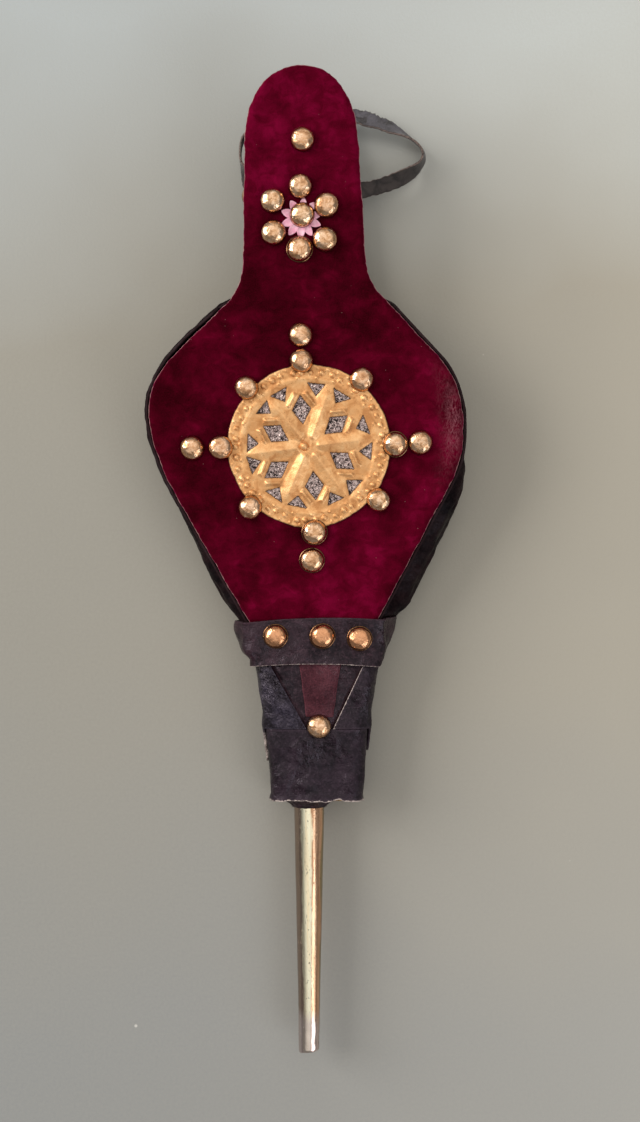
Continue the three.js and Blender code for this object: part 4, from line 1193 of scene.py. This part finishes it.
def hinge_row(y, left, right):
    """One row of the leather, from the right ear's foot over the top to the left ear's foot."""
    arch = 1.2 if y > 14 or y < -7 else 0
    half = board_half(y) if y > 0 else NOSE_HALF
    up = VELVET_TOP + LAYER_GAP + LEATHER / 2

    def top(x, z):
        place = y + arch * (1 - (x / NOSE_HALF) ** 2)
        if place >= 0:
            return carried((x, place, z), ON_FRONT)
        return np.array([HINGE.x + x, HINGE.y + place, BLOCK_TOP + z])

    def wall(x, z):
        return carried((x, y, z), ON_BACK) if y >= 0 else np.array([HINGE.x + x, HINGE.y + y, z])

    def side(ear, sign):
        foot = max(ear - 2.5, half + (2.8 if sign > 0 else 1.6)) if y > 0 else ear
        corner = min(half + 3.3, ear - 0.5)
        return [
            wall(sign * (foot + LEATHER / 2), 1.6),
            wall(sign * (ear + LEATHER / 2), 10),
            wall(sign * (ear + LEATHER / 2), 18),
            top(sign * (corner + LEATHER / 2), -2.5),
            top(sign * (corner - 1.9), up - 0.2),
            top(sign * NOSE_HALF / 2, up + 0.1),
        ]

    return [*side(right, 1), top(0, up + 0.1), *side(left, -1)[::-1]]


def make_hinge_leather():
    grid = net([hinge_row(*row) for row in HINGE_ROWS], 64, 190)
    nails = [carried(seat, matrix) for name, _, matrix, seat in NAILS if name.startswith("hinge_nail")]
    near = np.min([np.hypot(grid[..., 0] - x, grid[..., 1] - y) for x, y, _ in nails], axis=0)
    flat = smooth(grid[..., 2], 26, 29)
    press = 0.4 * hill(np.maximum(0, near - NAIL_RADIUS), 1.8) * flat
    puckers = 0.5 * rough(grid / (1, 1, 2.5), 4.2, 71) * (1 - flat) + 0.12 * rough(grid, 3, 72)
    normal = outer_normals(grid, False, 32, 95)
    part = sheet(grid + normal * (puckers - press)[..., None], LEATHER)
    piece = build("hinge_strap", "hinge_leather", None, DARK_LEATHER, part)
    paint_sheet(piece, "cut", smooth(np.linspace(0, 1, len(grid)), 0.9, 1)[:, None], grid)
    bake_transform(piece)


make_hinge_leather()

# ---- leathers on the nose


def flap_edge(side, y):
    """The top edge of a flap: one side of the V."""
    share = (-101 - y) / 27.5
    return mix(-20.2, -4.4, share) if side < 0 else mix(21.6, 8.6, share)


FLAP_TOP, FLAP_CORNER = 0.42, 0.62  # the shares of its width where a flap reaches the corner and leaves it


def make_flap(side, name):
    start, top_end = BLOCK_REAR + 1.5, BAND_START + 0.1
    side_end = -146 if side < 0 else -141
    rows, columns = edged(64, 40), edged(70, 45)
    grid = np.zeros((len(rows), len(columns), 3))
    for i, row in enumerate(rows):
        for j, share in enumerate(columns):
            down = float(np.clip((share - FLAP_TOP) / (FLAP_CORNER - FLAP_TOP), 0, 1))
            end = mix(top_end, side_end, smooth(share, 0.58, 0.8))
            if share > 0.85:
                end = mix(end, mix(top_end, side_end, 0.4), smooth(share, 0.85, 1))
            y = mix(start, end, row)
            half = along(BLOCK_HALF, max(y, BAND_START)) - max(0, BAND_START - y) * 0.08
            off = LAYER_GAP + LEATHER / 2 + 1.4 * down**3 * smooth(-y, 120, 129)
            if share <= FLAP_TOP:
                corner_x = half - BLOCK_CORNER
                x = mix(flap_edge(side, y) - BLOCK_X, side * corner_x, share / FLAP_TOP)
                grid[i, j] = BLOCK_X + x, y, BLOCK_TOP + off
                continue
            angle = (1 - down) * math.pi / 2
            reach = BLOCK_CORNER + off
            z = BLOCK_TOP - BLOCK_CORNER + reach * math.sin(angle)
            z = mix(z, 0.9, max(0, share - FLAP_CORNER) / (1 - FLAP_CORNER))
            grid[i, j] = BLOCK_X + side * (half - BLOCK_CORNER + reach * math.cos(angle)), y, z
    normal = grid_normals(grid) * side
    bow = 0.3 * rough(grid, 8, 81 + side) + 0.1 * rough(grid, 2.5, 83 + side)
    loose = smooth(grid[..., 2], 29.5, 27)
    grid = grid + normal * (bow * (0.35 + 0.65 * loose))[..., None]
    # The left flap's lighter, bluer leather is a painted highlight; the right flap uses the band's leather.
    look = PEBBLED_LIT_LEATHER if side < 0 else BAND_LEATHER
    points, faces, edge = sheet(grid, LEATHER)
    part = points, faces, edge * (1 if side < 0 else 0.5)
    flap = build(name + "_leather", name, "back", look, part)
    cut = smooth(columns, 0.6, 0.7) if side < 0 else 1 - smooth(columns, 0.02, 0.05)
    paint_sheet(flap, "cut", cut, grid)


def strip_ring(rear, front):
    """A strip that tapers along the nose. Each end is its middle's x, its y and its half width."""
    (xr, yr, hr), (xf, yf, hf) = rear, front
    corners = [(xr + hr, yr), (xr - hr, yr), (xf - hf, yf), (xf + hf, yf), (xr + hr, yr)]
    ring = evenly(corners, 0.8)[:-1]
    return ring + 0.12 * np.stack([rough(ring, 3, 91), rough(ring, 3, 92)], 1)


def make_strips():
    tongue = strip_ring((0.4, -96, 22.6), (2, -126.2, 6.8))
    crown = lambda base: lambda p, d: base + 0.1 * rough(p, 4, 93) - 0.25 * hill(d, 0.4)
    part = plate([tongue], 1.2, crown(BLOCK_TOP + 0.68), level(BLOCK_TOP + LAYER_GAP))
    lining = strip_ring((0.6, -95, 22.8), (1, -131, 17))
    lining = plate([lining], 0, level(BLOCK_TOP + 0.12), level(BLOCK_TOP + 0.02))
    build("tongue_leather", "nose_tongue", "back", DARK_LEATHER, part, lining)
    accent = strip_ring((2.2, -96.5, 9.9), (2, -123.6, 6.2))
    pebble = lambda p, d: BLOCK_TOP + 1.5 + 0.07 * rough(p, 1.3, 94) - 0.3 * hill(d, 0.4)
    part = plate([accent], 0.7, pebble, level(BLOCK_TOP + 0.85))
    build("accent_leather", "accent_strip", "back", WINE_LEATHER, part)


def block_ring(y, grow, count=200):
    """The block's rounded section at y, grown by the given distance, as a ring of count points."""
    half = along(BLOCK_HALF, y)
    share = (y - BLOCK_FRONT) / (BAND_START - BLOCK_FRONT)
    low, high = mix(3.2, 1.7, share), mix(25, BLOCK_TOP, share)
    right, high, low = half - BLOCK_CORNER, high - BLOCK_CORNER, low + BLOCK_CORNER
    reach, ring = BLOCK_CORNER + grow, []
    for quarter, (x, z) in enumerate([(right, high), (-right, high), (-right, low), (right, low)]):
        for angle in np.linspace(quarter, quarter + 1, 12) * math.pi / 2:
            ring.append((BLOCK_X + x + reach * math.cos(angle), z + reach * math.sin(angle)))
    ring = evenly(ring + ring[:1], 0.5)
    places = np.linspace(0, len(ring) - 1, count + 1)[:-1]
    ring = np.stack([np.interp(places, np.arange(len(ring)), ring[:, k]) for k in range(2)], 1)
    return np.column_stack([ring[:, 0], np.full(count, y), ring[:, 1]])


def make_band():
    rows = edged(46, 34)
    grow = LAYER_GAP + LEATHER / 2
    grid = np.stack([block_ring(mix(BAND_START - 0.05, BLOCK_FRONT, row), grow) for row in rows])
    around = lengths(grid[-1])[:, None]
    wave = 0.75 * rough(around, 7, 101) + 0.3 * rough(around, 2.2, 102)
    grid[..., 1] -= wave * smooth(rows, 0.75, 1)[:, None]
    normal = outer_normals(grid, True, 10, 50)
    lip = smooth(rows, 0.9, 1)[:, None] * (0.5 + 0.6 * rough(around, 5, 103))
    dents = 0.3 * rough(grid, 11, 104) + 0.12 * rough(grid, 3, 105)
    from_nail = np.hypot(grid[..., 0] - NOSE_NAIL[0], grid[..., 1] - NOSE_NAIL[1]) - NAIL_RADIUS
    press = 0.5 * hill(from_nail, 1.5) * (grid[..., 2] > 26)
    grid = grid + normal * (lip + dents - press)[..., None]
    points, faces, edge = sheet(grid, LEATHER, wrap=True)
    band = build("band_leather", "nose_band", "back", BAND_LEATHER, (points, faces, edge * 0.35))
    paint_sheet(band, "cut", smooth(rows, 0.8, 0.9)[:, None], grid)


make_flap(-1, "nose_flap_left")
make_flap(1, "nose_flap_right")
make_strips()
make_band()

# ---- nozzle


def lay_down(part):
    """Turns a part made round the z axis so that its z runs along the nozzle's y."""
    points, faces, edge = part
    points = np.stack([points[:, 0] + NOZZLE_X, points[:, 2], NOZZLE_Z - points[:, 1]], 1)
    return points, faces, edge


def make_nozzle():
    wall, root, taper = 0.8, BLOCK_FRONT + 35, BLOCK_FRONT - 4
    outside = [(NOZZLE_TIP_RADIUS - 0.25, NOZZLE_TIP), (NOZZLE_TIP_RADIUS, NOZZLE_TIP + 0.3)]
    for share in np.linspace(0, 1, 90)[1:]:
        radius = mix(NOZZLE_TIP_RADIUS, NOZZLE_ROOT_RADIUS, share)
        outside.append((radius, mix(NOZZLE_TIP, taper, share)))
    outside += [(NOZZLE_ROOT_RADIUS, root)]
    inside = [(r - wall, y) for r, y in outside[::-6]] + [(NOZZLE_TIP_RADIUS - wall, NOZZLE_TIP + 0.1)]
    profile = [*outside, *inside, outside[0]]

    def worn(grid, angle):
        x, y, z = np.moveaxis(grid, -1, 0)
        tip = smooth(z, NOZZLE_TIP + 30, NOZZLE_TIP)
        squash = 1 - 0.035 * tip
        dents = 0.05 * rough(grid / (1, 1, 5), 3, 111) + 0.16 * tip * rough(grid, 4, 112)
        away = np.hypot(x, y)
        scale = (away + dents) / np.maximum(away, 1e-6)
        slant = 0.7 * tip**4 * (x / NOZZLE_TIP_RADIUS) + 0.25 * tip**4 * rough(grid, 2.4, 113)
        slant = np.where(z < NOZZLE_TIP + 8, slant, 0)
        return np.stack([x * scale / squash, y * scale * squash, z + slant], -1)

    part = lay_down(lathe(profile, 96, worn))
    tube = build("nozzle_pipe", "nozzle_tube", "back", TUBE_BRASS, part, sharp=50)
    points = part[0]
    radius = np.maximum(1, np.hypot(points[:, 0] - NOZZLE_X, points[:, 2] - NOZZLE_Z))
    # From the tube's left side to its right, for the painted reflection bands of its look.
    paint(tube, "side", 0.5 + 0.5 * (points[:, 0] - NOZZLE_X) / radius)
    paint(tube, "tip", smooth(points[:, 1], NOZZLE_TIP + 45, NOZZLE_TIP))


def make_seal():
    inner, face = NOZZLE_ROOT_RADIUS + 0.3, BLOCK_FRONT - 0.3
    outside = [(3.6, 0.8), (3.0, 1.1), (2.4, 1.6), (1.7, 2.4), (1.0, 3.4), (0.3, 4.4), (0, 4.8)]
    profile = [(inner + out, face - ahead) for ahead, out in outside]
    profile = [(inner, face - 3.6), *profile, (inner, face), (inner, face - 3.6)]

    def gathered(grid, angle):
        x, y, z = np.moveaxis(grid, -1, 0)
        away = np.hypot(x, y)
        pleat = np.cos(11 * angle + 0.8 * np.sin(3 * angle))[None] * 0.35 + 0.3 * rough(grid, 2.2, 121)
        grow = smooth(away, inner + 0.3, inner + 2.5) * pleat
        scale = (away + grow) / away
        drawn = 0.35 * np.maximum(0, pleat) * (away > inner + 0.5)
        return np.stack([x * scale, y * scale, z - drawn], -1)

    part = lay_down(lathe(profile, 120, gathered))
    build("seal_leather", "nozzle_seal", "back", DARK_LEATHER, part)


make_nozzle()
make_seal()

# ---- CAD pieces that stay


def finish_node(name, look, bevel):
    """Gives a CAD node its material, and rounds its edges a little."""
    node = frame["nodes"][name]
    node.data.materials.clear()
    node.data.materials.append(look)
    modifier = node.modifiers.new("rounded", "BEVEL")
    modifier.width = bevel * MM
    modifier.segments = 3
    modifier.angle_limit = math.radians(40)


finish_node("nose_block", PALE_WOOD, 0.3)
finish_node("valve_batten", PALE_WOOD, 0.4)
finish_node("valve_flap", VALVE_LEATHER, 0.25)
finish_node("valve_tack_1", NAIL_BRASS, 0.15)
finish_node("valve_tack_2", NAIL_BRASS, 0.15)

# ---- table and light


# The room's colour by height: 0 is level with the object, and 1 is overhead, at the bright ceiling.
ROOM_UP = (0, 0.28, 0.96)
ROOM = [
    (0.05, (0.24, 0.23, 0.22)),
    (0.5, (0.17, 0.16, 0.15)),
    (0.83, (0.85, 0.81, 0.76)),
    (1.0, (1.15, 1.11, 1.05)),
]
LIGHT_TARGET = Vector((0, -0.03, 0.02))
TABLE_REACH = 3


def make_table():
    mesh = bpy.data.meshes.new("table")
    r = TABLE_REACH
    mesh.from_pydata([(-r, -r, 0), (r, -r, 0), (r, r, 0), (-r, r, 0)], [], [(0, 1, 2, 3)])
    mesh.materials.append(table_look())
    table = bpy.data.objects.new("table", mesh)
    bpy.context.scene.collection.objects.link(table)


def area_light(name, place, size, power, colour):
    """A square light that points at the bellows."""
    light = bpy.data.objects.new(name, bpy.data.lights.new(name, "AREA"))
    light.data.shape = "SQUARE"
    light.data.size = size
    light.data.energy = power
    light.data.color = colour
    light.location = place
    light.rotation_euler = (LIGHT_TARGET - Vector(place)).to_track_quat("-Z", "Y").to_euler()
    light.visible_camera = False
    bpy.context.scene.collection.objects.link(light)


def make_world():
    """A room with a bright ceiling and dim walls."""
    world = bpy.data.worlds.new("room")
    world.use_nodes = True
    nodes, link = world.node_tree.nodes, world.node_tree.links.new
    way = nodes.new("ShaderNodeTexCoord")
    height = nodes.new("ShaderNodeVectorMath")
    height.operation = "DOT_PRODUCT"
    height.inputs[1].default_value = ROOM_UP
    ramp = nodes.new("ShaderNodeValToRGB")
    set_ramp(ramp.color_ramp, ROOM)
    link(way.outputs["Generated"], height.inputs[0])
    link(height.outputs["Value"], ramp.inputs["Fac"])
    link(ramp.outputs["Color"], nodes["Background"].inputs["Color"])
    nodes["Background"].inputs["Strength"].default_value = 1.0
    bpy.context.scene.world = world


make_table()
make_world()
area_light("window", (-1.85, 0.65, 1.25), 1.4, 40, (1.0, 0.97, 0.93))
area_light("far_window", (0.9, -0.95, 0.9), 0.9, 6, (0.93, 0.96, 1.0))
bpy.context.scene.view_settings.view_transform = "Standard"
